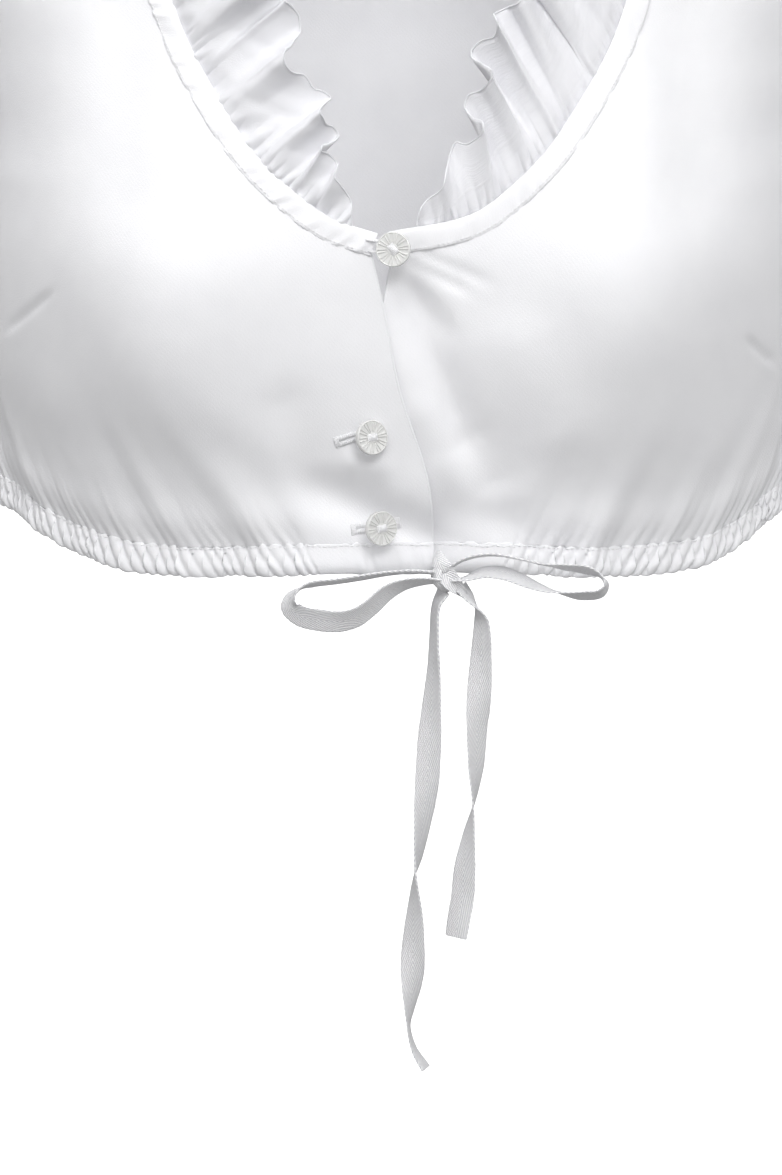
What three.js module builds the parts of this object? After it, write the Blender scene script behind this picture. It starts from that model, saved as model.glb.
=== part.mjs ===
// A dirndl blouse as it hangs when worn, with nobody in it: cropped fronts that button right over left
// above a gathered drawstring hem, a deep bound neckline with a ruffle inside it, plain short sleeves.
// Millimetres. -Y is the front, +X the wearer's left, +Z up, and the origin lies between the shoulders.
import * as THREE from "three";
import { mergeVertices } from "three/addons/utils/BufferGeometryUtils.js";

// ---------- driving dimensions ----------
const wall = 1.2; // cloth
const seamGap = 0.3; // between pieces at a seam
const shoulderHeight = 310; // the origin, above the front hem
const stitchHeight = 9.8; // top of the hem casing, above the front hem
const armpitHeight = 165;
const shoulderTip = { x: 178, height: 300 };
const neckPoint = { x: 105, height: 320 }; // where the shoulder seam meets the neckline
const backNeckHeight = 275;
// The hem sags either side of the closing, then climbs to each side seam from a share of the half width.
const hemRise = { back: 17, sag: 2, sagAt: 0.52, sagWidth: 0.2 };
const rightRise = { side: 21.5, from: 0.5, bend: 2.8 };
const leftRise = { side: 24, from: 0.71, bend: 1.5 };
const squareness = 2.3; // exponent of the body's cross-sections
const bindingWidth = 7;
// The ruffle leans out from the neckline's own surface by degrees; inset is from each end of the
// binding to its first fold. Its edge swings in and out, and curls along itself at every turn.
const frill = { width: 38, start: 5, waves: 36, swing: 6.5, curl: 2.2, lean: 22, inset: 9, thickness: 1 };
// Along the hem casing: the gathers' pitch, the flat lengths beside the closing, the longest flat facet.
const gather = { pitch: 4.4, flatRight: 44, flatLeft: 59, flatStep: 8 };
const cuff = { x: 222, height: 178, radius: 61, lean: 33.5 }; // the sleeve's end, leaning in degrees
const sleeveFall = 12; // degrees below level at which a sleeve leaves its armhole
const tapeSize = { width: 8.5, leadWidth: 4.25, thickness: 1 };
const button = { radius: 5.85, face: 1, bevel: 0.55, holeRadius: 1, holeOffset: 1.35 };
const knot = { x: 17.3, y: -110, z: -0.8, length: 10.4, depth: 6.8, height: 7.2, turn: 18 };
const threadRadius = 0.4; // of the button's loop

const cloth = new THREE.MeshStandardMaterial({ color: 0xf2f2f5, roughness: 0.75, metalness: 0 });
const trim = new THREE.MeshStandardMaterial({ color: 0xeeeef2, roughness: 0.8, metalness: 0 });
const twill = new THREE.MeshStandardMaterial({ color: 0xe6e6ea, roughness: 0.85, metalness: 0 });
const pearl = new THREE.MeshStandardMaterial({ color: 0xdcdce0, roughness: 0.3, metalness: 0 });

// ---------- tables ----------
// The worn form by height above the front hem: half its width, and how far front and back stand from
// the plane of the side seams.
const sections = [
  { height: 0, halfWidth: 143, front: 101, back: 84 },
  { height: 40, halfWidth: 149, front: 108, back: 87 },
  { height: 90, halfWidth: 151.5, front: 114, back: 90 },
  { height: 130, halfWidth: 149.5, front: 113, back: 93 },
  { height: 165, halfWidth: 150, front: 108, back: 96 },
  { height: 200, halfWidth: 166, front: 99, back: 97 },
  { height: 250, halfWidth: 200, front: 79, back: 88 },
  { height: 285, halfWidth: 260, front: 56, back: 66 },
  { height: 320, halfWidth: 330, front: 0, back: 0 },
];
// The darts give each front one soft cup.
const cup = { x: 88, height: 97, depth: 29, halfWidth: 44, below: 52, above: 68 };

// Where the closing laps, each front steps out or in, by more at the hem; the step fades at x.
const rightLap = { above: 1.3, below: 1.6, full: 22, gone: 52 };
const leftLap = { above: -1.1, below: -1.4, full: 14, gone: 44 };

// Front edges, from the hem up the closing to the corner, then along the neckline to the shoulder.
const rightClosing = [
  { x: 13, height: stitchHeight },
  { x: 10.5, height: 33 },
  { x: 1, height: 64 },
  { x: -4.8, height: 94 },
  { x: -8.5, height: 110.5 },
];
const leftClosing = [
  { x: -19, height: stitchHeight },
  { x: -20.5, height: 47 },
  { x: -12, height: 72 },
  { x: -5.2, height: 91 },
  { x: -1.5, height: 110.8 },
];
const rightNeckline = [
  { x: -8.5, height: 110.5 },
  { x: -23.5, height: 115.5 },
  { x: -37, height: 124.5 },
  { x: -53.5, height: 140.5 },
  { x: -68, height: 162 },
  { x: -80.5, height: 185 },
  { x: -92.5, height: 222 },
  { x: -100.5, height: 265 },
  { x: -neckPoint.x, height: neckPoint.height },
];
const leftNeckline = [
  { x: -1.5, height: 110.8 },
  { x: 21.4, height: 115 },
  { x: 32, height: 119.5 },
  { x: 53.5, height: 138.5 },
  { x: 67, height: 157 },
  { x: 80, height: 180 },
  { x: 92.5, height: 220 },
  { x: 100.5, height: 265 },
  { x: neckPoint.x, height: neckPoint.height },
];

// The largest soft ridges (+) and troughs (-), as lines between two places on a front.
const rightFolds = [
  { x0: -94, z0: 81, x1: -33, z1: 22, depth: 3.5, halfWidth: 13 },
  { x0: -101, z0: 62, x1: -70, z1: 8, depth: -3.5, halfWidth: 12 },
  { x0: -33, z0: 60, x1: -20, z1: 20, depth: -2.4, halfWidth: 9 },
  { x0: -92, z0: 195, x1: -94, z1: 128, depth: -3.5, halfWidth: 15 },
];
const leftFolds = [
  { x0: 6, z0: 108, x1: 30, z1: 99, depth: -1.4, halfWidth: 5 },
  { x0: 3, z0: 98, x1: 15, z1: 54, depth: 1.5, halfWidth: 7 },
  { x0: 16, z0: 94, x1: 27, z1: 60, depth: -3, halfWidth: 10 },
  { x0: 27, z0: 60, x1: 44, z1: 30, depth: -4, halfWidth: 14 },
  { x0: 100, z0: 195, x1: 101, z1: 128, depth: -3.5, halfWidth: 15 },
];

// Button centres; tilt turns the face to the wearer's left, lean tips it upwards.
const buttons = [
  { name: "button_top", x: -1.2, height: 112.2, tilt: -14, lean: 6, standoff: 5.4 },
  { name: "button_middle", x: -8.5, height: 48.2, tilt: 30, lean: 8, standoff: 4.2 },
  { name: "button_bottom", x: -5.3, height: 16.6, tilt: 30, lean: 4, standoff: 3.9 },
];

// The thread loop lies beside the top button; proud is how far it stands off the closing.
const loopRoute = [
  { x: -10.5, proud: 1.2, height: 115.4 },
  { x: -8.5, proud: 1.6, height: 115.1 },
  { x: -5.5, proud: 1.8, height: 114.6 },
  { x: -3.2, proud: 1.8, height: 112.8 },
  { x: -5.5, proud: 1.8, height: 111 },
  { x: -8, proud: 1.6, height: 111.2 },
  { x: -9.8, proud: 1.2, height: 111.8 },
];

// The band's section: out from the panel's edge, and proud of its outer face.
const bandSection = [
  { out: 0, proud: -1.4 },
  { out: 0, proud: 0.2 },
  { out: 1, proud: 0.7 },
  { out: bindingWidth - 1, proud: 0.7 },
  { out: bindingWidth, proud: 0.2 },
  { out: bindingWidth, proud: -1.4 },
];
// The casing's section: out from the panel's outer face, swung by the gathers, and down from the stitching.
const casingSection = [
  { out: -wall, swing: 0, down: seamGap },
  { out: -wall, swing: 0, down: stitchHeight },
  { out: 1.2, swing: 0.9, down: 6.4 },
  { out: 0.3, swing: 0.3, down: seamGap },
];
// Corners of the tape's flat section, as shares of half its width and half its thickness.
const tapeSection = [
  { across: 1, proud: 0.45 },
  { across: 0.94, proud: 1 },
  { across: -0.94, proud: 1 },
  { across: -1, proud: 0.45 },
  { across: -1, proud: -0.45 },
  { across: -0.94, proud: -1 },
  { across: 0.94, proud: -1 },
  { across: 1, proud: -0.45 },
];

// Tape routes, outwards from the knot. turn is the angle by which the flat face looks away from the
// front, about the tape's own line.
const rightLoopRoute = [
  { x: 12.2, y: -110.5, z: 1.5, turn: 100 },
  { x: 5, y: -111.5, z: 1.9, turn: 102 },
  { x: -3, y: -112.5, z: 1.4, turn: 104 },
  { x: -12, y: -113.5, z: 0.1, turn: 107 },
  { x: -21, y: -114, z: -1.2, turn: 107 },
  { x: -28.5, y: -114, z: -2.1, turn: 108 },
  { x: -33, y: -114, z: -3.6, turn: 100 },
  { x: -36, y: -114, z: -6.6, turn: 80 },
  { x: -36.2, y: -114, z: -10, turn: 58 },
  { x: -32.5, y: -114.5, z: -12.9, turn: 42 },
  { x: -26, y: -115, z: -14.2, turn: 42 },
  { x: -19.5, y: -115, z: -14.6, turn: 52 },
  { x: -14, y: -115, z: -13.2, turn: 60 },
  { x: -9, y: -114.5, z: -9.8, turn: 63 },
  { x: -3.5, y: -113.5, z: -5, turn: 66 },
  { x: 2.5, y: -112.5, z: -2.2, turn: 70 },
  { x: 11.7, y: -111.3, z: -1.1, turn: 74 },
];
const leftLoopRoute = [
  { x: 19, y: -110, z: 3.8, turn: -100 },
  { x: 22.5, y: -110.8, z: 5.8, turn: -100 },
  { x: 27, y: -111.8, z: 7.3, turn: -100 },
  { x: 33, y: -112.5, z: 7.9, turn: -98 },
  { x: 41, y: -112.5, z: 6.7, turn: -94 },
  { x: 49, y: -112, z: 4.7, turn: -96 },
  { x: 57, y: -111.5, z: 3.5, turn: -108 },
  { x: 64.5, y: -111, z: 2.4, turn: -114 },
  { x: 69.3, y: -111, z: 0.4, turn: -100 },
  { x: 71.2, y: -111, z: -2.6, turn: -78 },
  { x: 69.4, y: -111, z: -5.4, turn: -64 },
  { x: 64, y: -111, z: -6.2, turn: -63 },
  { x: 57, y: -111.5, z: -5.4, turn: -68 },
  { x: 50, y: -112, z: -3.6, turn: -70 },
  { x: 43, y: -112.5, z: -0.8, turn: -70 },
  { x: 36.5, y: -112.5, z: 1.6, turn: -72 },
  { x: 30, y: -112.2, z: 2.2, turn: -76 },
  { x: 22.9, y: -111.2, z: -0.2, turn: -78 },
];
const rightTailRoute = [
  { x: 16.2, y: -109, z: -4.6, turn: 62 },
  { x: 13.6, y: -108.5, z: -10, turn: 74 },
  { x: 12.9, y: -108, z: -21.5, turn: 71 },
  { x: 12.8, y: -107.5, z: -32, turn: 61 },
  { x: 11.9, y: -107, z: -47, turn: 38 },
  { x: 11.1, y: -107, z: -59, turn: 10 },
  { x: 10.3, y: -107, z: -72, turn: -12 },
  { x: 8.8, y: -107, z: -85, turn: -44 },
  { x: 7.2, y: -107, z: -98, turn: -72 },
  { x: 6.3, y: -107, z: -105, turn: -95 },
  { x: 6.1, y: -107, z: -117, turn: -129 },
  { x: 5.6, y: -107, z: -130, turn: -162 },
  { x: 5.3, y: -107, z: -142, turn: -212 },
  { x: 4.6, y: -107, z: -151, turn: -246 },
  { x: 4.3, y: -107, z: -158, turn: -264 },
  { x: 6.2, y: -107.5, z: -165, turn: -262 },
  { x: 10.2, y: -108.5, z: -171.4, turn: -255 },
];
const leftTailRoute = [
  { x: 22, y: -110.5, z: -3.1, turn: 118 },
  { x: 25, y: -110.5, z: -7, turn: 108 },
  { x: 27.4, y: -110.5, z: -10.6, turn: 84 },
  { x: 28.9, y: -110.5, z: -14.5, turn: 58 },
  { x: 29.2, y: -110.5, z: -20, turn: 44 },
  { x: 28.9, y: -110, z: -27, turn: 34 },
  { x: 28.1, y: -110, z: -41, turn: 2 },
  { x: 27.4, y: -109.5, z: -52, turn: -32 },
  { x: 27.1, y: -109.5, z: -65, turn: -48 },
  { x: 26.4, y: -109.5, z: -78, turn: -84 },
  { x: 24.6, y: -109.5, z: -90, turn: -118 },
  { x: 23.2, y: -109.5, z: -102, turn: -150 },
  { x: 22.6, y: -109.5, z: -111, turn: -160 },
  { x: 21.4, y: -109.8, z: -118, turn: -156 },
  { x: 20.3, y: -110.2, z: -125, turn: -150 },
];
const leadRoute = [
  { x: 15.9, y: -102.7, z: 6.6, turn: 0 },
  { x: 15.6, y: -106.4, z: 5.6, turn: 0 },
  { x: 15.6, y: -108.9, z: 4.4, turn: 0 },
  { x: 15.9, y: -109.8, z: 3.7, turn: 0 },
];

// ---------- small maths ----------
const rad = THREE.MathUtils.degToRad;
const mix = THREE.MathUtils.lerp;
const vec = (x, y, z) => new THREE.Vector3(x, y, z);
const signedPower = (value, power) => Math.sign(value) * Math.abs(value) ** power;
const range = (count) => Array.from({ length: count }, (_, i) => i);

// One column of the sections at a height, on a smooth curve through every row. Depths are read as
// their squares, so that the form closes roundly over the shoulder.
function section(column, height, power = 1) {
  const last = sections.length - 1;
  const value = (i) => sections[i][column] ** power;
  const slope = (i) => {
    const a = Math.max(i - 1, 0);
    const b = Math.min(i + 1, last);
    return (value(b) - value(a)) / (sections[b].height - sections[a].height);
  };
  let i = 0;
  while (i < last - 1 && height > sections[i + 1].height) i++;
  const step = sections[i + 1].height - sections[i].height;
  const t = THREE.MathUtils.clamp((height - sections[i].height) / step, 0, 1);
  const a = value(i) + slope(i) * step * t;
  const b = value(i + 1) - slope(i + 1) * step * (1 - t);
  return Math.max(mix(a, b, t * t * (3 - 2 * t)), 0) ** (1 / power);
}

// Points spaced evenly along the smooth line through a table's rows.
function along(rows, count) {
  const line = new THREE.CatmullRomCurve3(rows.map((row) => vec(row.x, 0, row.height)), false, "centripetal");
  return range(count + 1).map((i) => {
    const p = line.getPointAt(i / count);
    return { x: p.x, height: p.z };
  });
}

// ---------- the worn form ----------
// The shoulders fall away outside the neck point, so a place there belongs to a higher section.
function shoulderDrop(x, height) {
  const fall = (neckPoint.height - shoulderTip.height) / (shoulderTip.x - neckPoint.x);
  return fall * (x - neckPoint.x) * THREE.MathUtils.smoothstep(height, 200, shoulderTip.height);
}

function riseAt(face, angle, height) {
  const share = Math.abs(Math.sin(angle)) ** (2 / squareness);
  const sag = hemRise.sag * Math.exp(-(((share - hemRise.sagAt) / hemRise.sagWidth) ** 2));
  const { side, from, bend } = angle < 0 ? rightRise : leftRise;
  const front = side * Math.max(0, (share - from) / (1 - from)) ** bend - sag;
  const rise = face === "front" ? front : mix(hemRise.back, side, share ** 3);
  return rise * (1 - THREE.MathUtils.smoothstep(height, stitchHeight, armpitHeight));
}

const angleAt = (x, height) => {
  const share = THREE.MathUtils.clamp(x / section("halfWidth", height), -1, 1);
  return Math.asin(signedPower(share, squareness / 2));
};

// A place on the form: angle 0 is the centre and +-90 degrees the side seams, for front and back alike.
function formPoint(face, angle, height) {
  const x = section("halfWidth", height) * signedPower(Math.sin(angle), 2 / squareness);
  const z = height + riseAt(face, angle, height);
  const depth = section(face, height + shoulderDrop(Math.abs(x), height), 2);
  const y = depth * Math.max(Math.cos(angle), 0) ** (2 / squareness);
  if (face === "back") return vec(x, Math.max(y, seamGap / 2), z);
  const reach = height < cup.height ? cup.below : cup.above;
  const across = (Math.abs(x) - cup.x) / cup.halfWidth;
  const bulge = cup.depth * Math.exp(-(across ** 2) - ((height - cup.height) / reach) ** 2);
  return vec(x, Math.min(-y - bulge * Math.cos(angle), -seamGap / 2), z);
}

// How far the folds and the lap of the closing move a front outwards at a place.
function relief(side, x, z) {
  let sum = 0;
  for (const fold of side < 0 ? rightFolds : leftFolds) {
    const [dx, dz] = [fold.x1 - fold.x0, fold.z1 - fold.z0];
    const t = ((x - fold.x0) * dx + (z - fold.z0) * dz) / (dx * dx + dz * dz);
    const off = (x - fold.x0) * dz - (z - fold.z0) * dx;
    const spread = off / Math.hypot(dx, dz) / fold.halfWidth;
    const beyond = Math.max(0, Math.abs(t - 0.5) - 0.35) / 0.3;
    sum += fold.depth * Math.exp(-(spread ** 2) - beyond ** 2);
  }
  const lap = side < 0 ? rightLap : leftLap;
  const step = mix(lap.below, lap.above, THREE.MathUtils.smoothstep(z, 12, 40));
  return sum + step * (1 - THREE.MathUtils.smoothstep(x * side, lap.full, lap.gone));
}

// A front's own surface; freedom 0 keeps it on the form, 1 lets the folds move it fully.
function frontPoint(side, angle, height, freedom) {
  const p = formPoint("front", angle, height);
  const widest = sections[2];
  const out = vec(p.x / widest.halfWidth ** 2, p.y / widest.front ** 2, 0).normalize();
  return p.addScaledVector(out, relief(side, p.x, p.z) * freedom);
}

// ---------- the armhole ----------
// It lies in a slanting plane from the armpit to the shoulder tip, where the form is cut off.
function armholeAngle(height) {
  const share = (height - armpitHeight) / (shoulderTip.height - armpitHeight);
  return angleAt(mix(section("halfWidth", armpitHeight), shoulderTip.x, share), height);
}

// The outer ends of a panel's rows: up the side seam, then round the armhole to the shoulder tip.
function outerEnds(sideRows, armholeRows) {
  const seam = range(sideRows).map((i) => ({
    height: mix(stitchHeight, armpitHeight, i / sideRows),
    angle: Math.PI / 2,
  }));
  const hole = range(armholeRows + 1).map((i) => {
    const share = (1 - Math.cos((Math.PI * i) / armholeRows)) / 2;
    const height = mix(armpitHeight, shoulderTip.height, share);
    return { height, angle: i === 0 ? Math.PI / 2 : armholeAngle(height) };
  });
  return [...seam, ...hole];
}

// ---------- meshes ----------
const pinY = vec(0, 1, 0);

// A closed cloth wall under grids of shared corners. A grid runs so that across x up points outwards.
// A corner's pins are directions that the wall's inside may not move along.
function clothWall(grids, thickness = wall, share = 1) {
  const corners = [...new Set(grids.flat(2))];
  const number = new Map(corners.map((corner, i) => [corner, i]));
  const faces = [];
  for (const grid of grids) {
    for (let r = 0; r + 1 < grid.length; r++) {
      for (let c = 0; c + 1 < grid[r].length; c++) {
        const [a, b] = [number.get(grid[r][c]), number.get(grid[r][c + 1])];
        const [d, e] = [number.get(grid[r + 1][c + 1]), number.get(grid[r + 1][c])];
        const rising = corners[a].at.distanceTo(corners[d].at) < corners[b].at.distanceTo(corners[e].at);
        faces.push(...(rising ? [[a, b, d], [a, d, e]] : [[a, b, e], [b, d, e]]));
      }
    }
  }
  corners.forEach((corner) => (corner.normal = vec(0, 0, 0)));
  for (const [a, b, c] of faces) {
    const ab = corners[b].at.clone().sub(corners[a].at);
    const ac = corners[c].at.clone().sub(corners[a].at);
    for (const i of [a, b, c]) corners[i].normal.add(ab.clone().cross(ac));
  }
  for (const corner of corners) {
    for (const pin of corner.pins ?? []) corner.normal.addScaledVector(pin, -corner.normal.dot(pin));
    corner.normal.normalize();
    corner.top = corner.at.clone().addScaledVector(corner.normal, thickness * (1 - share));
    corner.inner ??= corner.at.clone().addScaledVector(corner.normal, -thickness * share);
  }
  const count = corners.length;
  const rims = new Map();
  for (const [a, b, c] of faces) {
    for (const [p, q] of [[a, b], [b, c], [c, a]]) {
      if (!rims.delete(`${q} ${p}`)) rims.set(`${p} ${q}`, [p, q]);
    }
  }
  const triangles = [...faces, ...faces.map(([a, b, c]) => [a + count, c + count, b + count])];
  for (const [p, q] of rims.values()) triangles.push([q, p, p + count], [q, p + count, q + count]);
  return solid([...corners.map((corner) => corner.top), ...corners.map((corner) => corner.inner)], triangles);
}

function solid(points, triangles) {
  const geometry = new THREE.BufferGeometry().setFromPoints(points);
  geometry.setIndex(triangles.flat());
  return geometry;
}

// A closed section carried along frames; place(frame, corner) gives the point of one section corner.
function sweep(frames, sectionSize, place) {
  const points = frames.flatMap((frame, i) => range(sectionSize).map((k) => place(frame, k, i)));
  const triangles = [];
  for (let i = 0; i + 1 < frames.length; i++) {
    for (let k = 0; k < sectionSize; k++) {
      const [a, b] = [i * sectionSize + k, i * sectionSize + ((k + 1) % sectionSize)];
      const [c, d] = [b + sectionSize, a + sectionSize];
      triangles.push(...(2 * k < sectionSize ? [[a, b, c], [a, c, d]] : [[a, b, d], [b, c, d]]));
    }
  }
  const end = (frames.length - 1) * sectionSize;
  for (let k = 1; k + 1 < sectionSize; k++) {
    triangles.push([0, k + 1, k], [end, end + k, end + k + 1]);
  }
  return facingOut(solid(points, triangles));
}

// Turns a closed mesh round if its faces point inwards.
function facingOut(geometry) {
  const [at, index] = [geometry.attributes.position, geometry.index];
  const corner = (i) => new THREE.Vector3().fromBufferAttribute(at, index.getX(i));
  let volume = 0;
  for (let i = 0; i < index.count; i += 3) volume += corner(i).dot(corner(i + 1).cross(corner(i + 2)));
  if (volume < 0) index.array.reverse();
  return geometry;
}

// Directions along an edge and away from its panel, within the panel's surface.
function edgeFrames(corners, closed, sign) {
  const count = corners.length;
  return corners.map((corner, i) => {
    const before = corners[closed ? (i + count - 1) % count : Math.max(i - 1, 0)].at;
    const after = corners[closed ? (i + 1) % count : Math.min(i + 1, count - 1)].at;
    const tangent = after.clone().sub(before).normalize();
    const away = corner.normal.clone().cross(tangent).multiplyScalar(sign).normalize();
    return { at: corner.at, inner: corner.inner, normal: corner.normal, tangent, away };
  });
}

const midway = (a, b) => ({
  at: a.at.clone().lerp(b.at, 0.5),
  inner: a.inner.clone().lerp(b.inner, 0.5),
  normal: a.normal.clone().add(b.normal).normalize(),
});

const group = new THREE.Group();
const garment = new THREE.Group();
garment.position.z = -shoulderHeight;
group.add(garment);

function add(name, geometry, material) {
  const mesh = new THREE.Mesh(geometry, material);
  mesh.name = name;
  garment.add(mesh);
  return mesh;
}

// ---------- panels ----------
const rows = { closing: 8, neckline: 14, side: 10, armhole: 12, centreBack: 14, backNeckline: 8 };
const columns = { front: 15, back: 11 };

// A front's grid, its columns from the front edge to the side.
function frontGrid(side) {
  const [closing, neckline] = side < 0 ? [rightClosing, rightNeckline] : [leftClosing, leftNeckline];
  const edge = [...along(closing, rows.closing).slice(0, -1), ...along(neckline, rows.neckline)];
  const ends = outerEnds(rows.side, rows.armhole);
  const top = edge.length - 1;
  return edge.map((start, r) => {
    const from = angleAt(start.x, start.height);
    return range(columns.front + 1).map((c) => {
      const share = c / columns.front;
      const angle = mix(from, ends[r].angle * side, share);
      const at = frontPoint(side, angle, mix(start.height, ends[r].height, share), 1 - share ** 6);
      if (r === top) at.y = -seamGap / 2;
      return { at, pins: r === top || (share === 1 && r <= rows.side) ? [pinY] : [] };
    });
  });
}

const rightGrid = frontGrid(-1);
const leftGrid = frontGrid(1);
add("front_right", clothWall([rightGrid.map((row) => [...row].reverse())]), cloth);
add("front_left", clothWall([leftGrid]), cloth);

// The back's two halves share the centre line up to the neck.
function backEdge() {
  const centre = range(rows.centreBack).map((i) => ({
    x: 0,
    height: mix(stitchHeight, backNeckHeight, i / rows.centreBack),
  }));
  const neck = range(rows.backNeckline + 1).map((i) => {
    const turn = (Math.PI / 2) * (i / rows.backNeckline);
    const height = neckPoint.height - (neckPoint.height - backNeckHeight) * Math.cos(turn);
    return { x: neckPoint.x * Math.sin(turn), height };
  });
  return [...centre, ...neck];
}

function backGrid(side, middle) {
  const edge = backEdge();
  const ends = outerEnds(rows.side, rows.armhole);
  const top = edge.length - 1;
  return edge.map((start, r) => {
    const from = angleAt(start.x * side, start.height);
    return range(columns.back + 1).map((c) => {
      if (c === 0 && middle && r <= rows.centreBack) return middle[r][0];
      const share = c / columns.back;
      const height = mix(start.height, ends[r].height, share);
      const at = formPoint("back", mix(from, ends[r].angle * side, share), height);
      if (r === top) at.y = seamGap / 2;
      return { at, pins: r === top || (share === 1 && r <= rows.side) ? [pinY] : [] };
    });
  });
}

const backLeft = backGrid(1);
const backRight = backGrid(-1, backLeft);
add("back", clothWall([backLeft.map((row) => [...row].reverse()), backRight]), cloth);

// ---------- sleeves ----------
const sleeveRings = 5;

function sleeve(side, front, back) {
  const last = rows.side + rows.armhole;
  const hole = (grid) => range(rows.armhole + 1).map((i) => grid[rows.side + i].at(-1));
  const [fore, aft] = [hole(front), hole(back)];
  const under = midway(fore[0], aft[0]);
  const over = midway(front[last].at(-1), back[last].at(-1));
  const ring = [under, ...fore.slice(1, -1), over, ...aft.slice(1, -1).reverse()];
  const frames = edgeFrames(ring, true, -side);
  const out = vec(side * Math.cos(rad(sleeveFall)), 0, -Math.sin(rad(sleeveFall)));
  const up = vec(side * Math.cos(rad(cuff.lean)), 0, Math.sin(rad(cuff.lean)));
  const centre = vec(side * cuff.x, 0, cuff.height);
  const grid = range(sleeveRings + 1).map((k) => {
    const t = k / sleeveRings;
    return frames.map((frame, i) => {
      const start = frame.at.clone().addScaledVector(frame.away, seamGap);
      if (k === 0) return { at: start, inner: frame.inner.clone().addScaledVector(frame.away, seamGap) };
      const turn = (2 * Math.PI * i) / frames.length;
      const end = centre.clone().addScaledVector(up, -cuff.radius * Math.cos(turn));
      end.y = -cuff.radius * Math.sin(turn);
      const bend = start.clone().addScaledVector(out, start.distanceTo(end) * 0.45);
      return { at: new THREE.QuadraticBezierCurve3(start, bend, end).getPoint(t) };
    });
  });
  for (const row of grid) row.push(row[0]);
  return clothWall([side < 0 ? grid : grid.map((row) => [...row].reverse())]);
}

add("sleeve_right", sleeve(-1, rightGrid, backRight), cloth);
add("sleeve_left", sleeve(1, leftGrid, backLeft), cloth);

// ---------- neck binding and ruffle ----------
const neckOf = (grid, from) => grid.slice(from).map((row) => row[0]);
const neckRight = neckOf(rightGrid, rows.closing);
const neckLeft = neckOf(leftGrid, rows.closing);
const backNeckRight = neckOf(backRight, rows.centreBack);
const backNeckLeft = neckOf(backLeft, rows.centreBack);
const neckEdge = edgeFrames(
  [
    ...neckRight.slice(0, -1),
    midway(neckRight.at(-1), backNeckRight.at(-1)),
    ...backNeckRight.slice(1, -1).reverse(),
    ...backNeckLeft.slice(0, -1),
    midway(backNeckLeft.at(-1), neckLeft.at(-1)),
    ...neckLeft.slice(0, -1).reverse(),
  ],
  false,
  -1,
);
const besideEdge = (frame, out, proud) =>
  frame.at.clone().addScaledVector(frame.away, seamGap + out).addScaledVector(frame.normal, proud);
const bandCorner = (frame, k) => besideEdge(frame, bandSection[k].out, bandSection[k].proud);
add("neck_binding", sweep(neckEdge, bandSection.length, bandCorner), trim);

// A place a share of the way along a polyline of frames, by length.
function walker(frames, base) {
  const reach = [0];
  for (let i = 1; i < frames.length; i++) {
    reach.push(reach[i - 1] + base(frames[i]).distanceTo(base(frames[i - 1])));
  }
  const length = reach.at(-1);
  const at = (distance) => {
    let i = 0;
    while (i < frames.length - 2 && distance > reach[i + 1]) i++;
    const t = THREE.MathUtils.clamp((distance - reach[i]) / (reach[i + 1] - reach[i]), 0, 1);
    const [a, b] = [frames[i], frames[i + 1]];
    const result = { at: base(a).lerp(base(b), t), tangent: base(b).sub(base(a)).normalize() };
    for (const key of ["away", "normal"]) result[key] = a[key].clone().lerp(b[key], t).normalize();
    return result;
  };
  return { length, at };
}

// It starts narrow at both ends and reaches its full width and swing within the first waves.
function ruffle() {
  const line = walker(neckEdge, (frame) => besideEdge(frame, seamGap + bindingWidth, -wall / 2));
  const [cos, sin] = [Math.cos(rad(frill.lean)), Math.sin(rad(frill.lean))];
  const perWave = 8;
  const steps = frill.waves * perWave;
  const corner = (share, i) => {
    const frame = line.at(mix(frill.inset, line.length - frill.inset, i / steps));
    const grown = THREE.MathUtils.smoothstep(Math.min(i, steps - i) / perWave, -0.6, 4.2);
    const phase = (2 * Math.PI * i) / perWave;
    const reach = share * mix(frill.start, frill.width, grown);
    const wave = share * grown * frill.swing * Math.sin(phase);
    const at = frame.at
      .clone()
      .addScaledVector(frame.away, reach * cos - wave * sin)
      .addScaledVector(frame.normal, reach * sin + wave * cos)
      .addScaledVector(frame.tangent, -share * grown * frill.curl * Math.sin(2 * phase));
    return { at, pins: share === 0 ? [frame.away] : [] };
  };
  const grid = [1, 0.5, 0].map((share) => range(steps + 1).map((i) => corner(share, i)));
  return clothWall([grid], frill.thickness, 0.5);
}
add("neck_ruffle", facingOut(ruffle()), cloth);

// ---------- gathered hem casing ----------
// A casing hangs from a panel's bottom row, flat for a length from the front edge, gathered beyond it.
function casing(name, bottomRow, flat) {
  const frames = bottomRow.map((corner) => ({
    at: corner.at,
    normal: vec(corner.normal.x, corner.normal.y, 0).normalize(),
    away: vec(0, 0, -1),
  }));
  const line = walker(frames, (frame) => frame.at.clone());
  const gathers = Math.round((line.length - flat) / gather.pitch);
  const pitch = (line.length - flat) / gathers;
  const stops = [
    ...range(Math.floor(flat / gather.flatStep)).map((i) => ({ distance: i * gather.flatStep, lift: 0 })),
    ...range(gathers * 2 + 1).map((i) => ({
      distance: flat + (i * pitch) / 2,
      lift: (i % 2 ? 1 : -1) * (0.75 + 0.25 * Math.sin(i * 0.9)),
    })),
  ];
  const placed = stops.map((stop) => ({ ...line.at(stop.distance), lift: stop.lift }));
  const place = (frame, k) => {
    const { out, swing, down } = casingSection[k];
    return frame.at
      .clone()
      .addScaledVector(frame.normal, out + swing * frame.lift)
      .addScaledVector(frame.away, down);
  };
  return add(name, sweep(placed, casingSection.length, place), cloth);
}

casing("casing_right", rightGrid[0], gather.flatRight);
casing("casing_left", leftGrid[0], gather.flatLeft);
casing("casing_back", [...backLeft[0].slice(1).reverse(), ...backRight[0]], 0);

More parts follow.
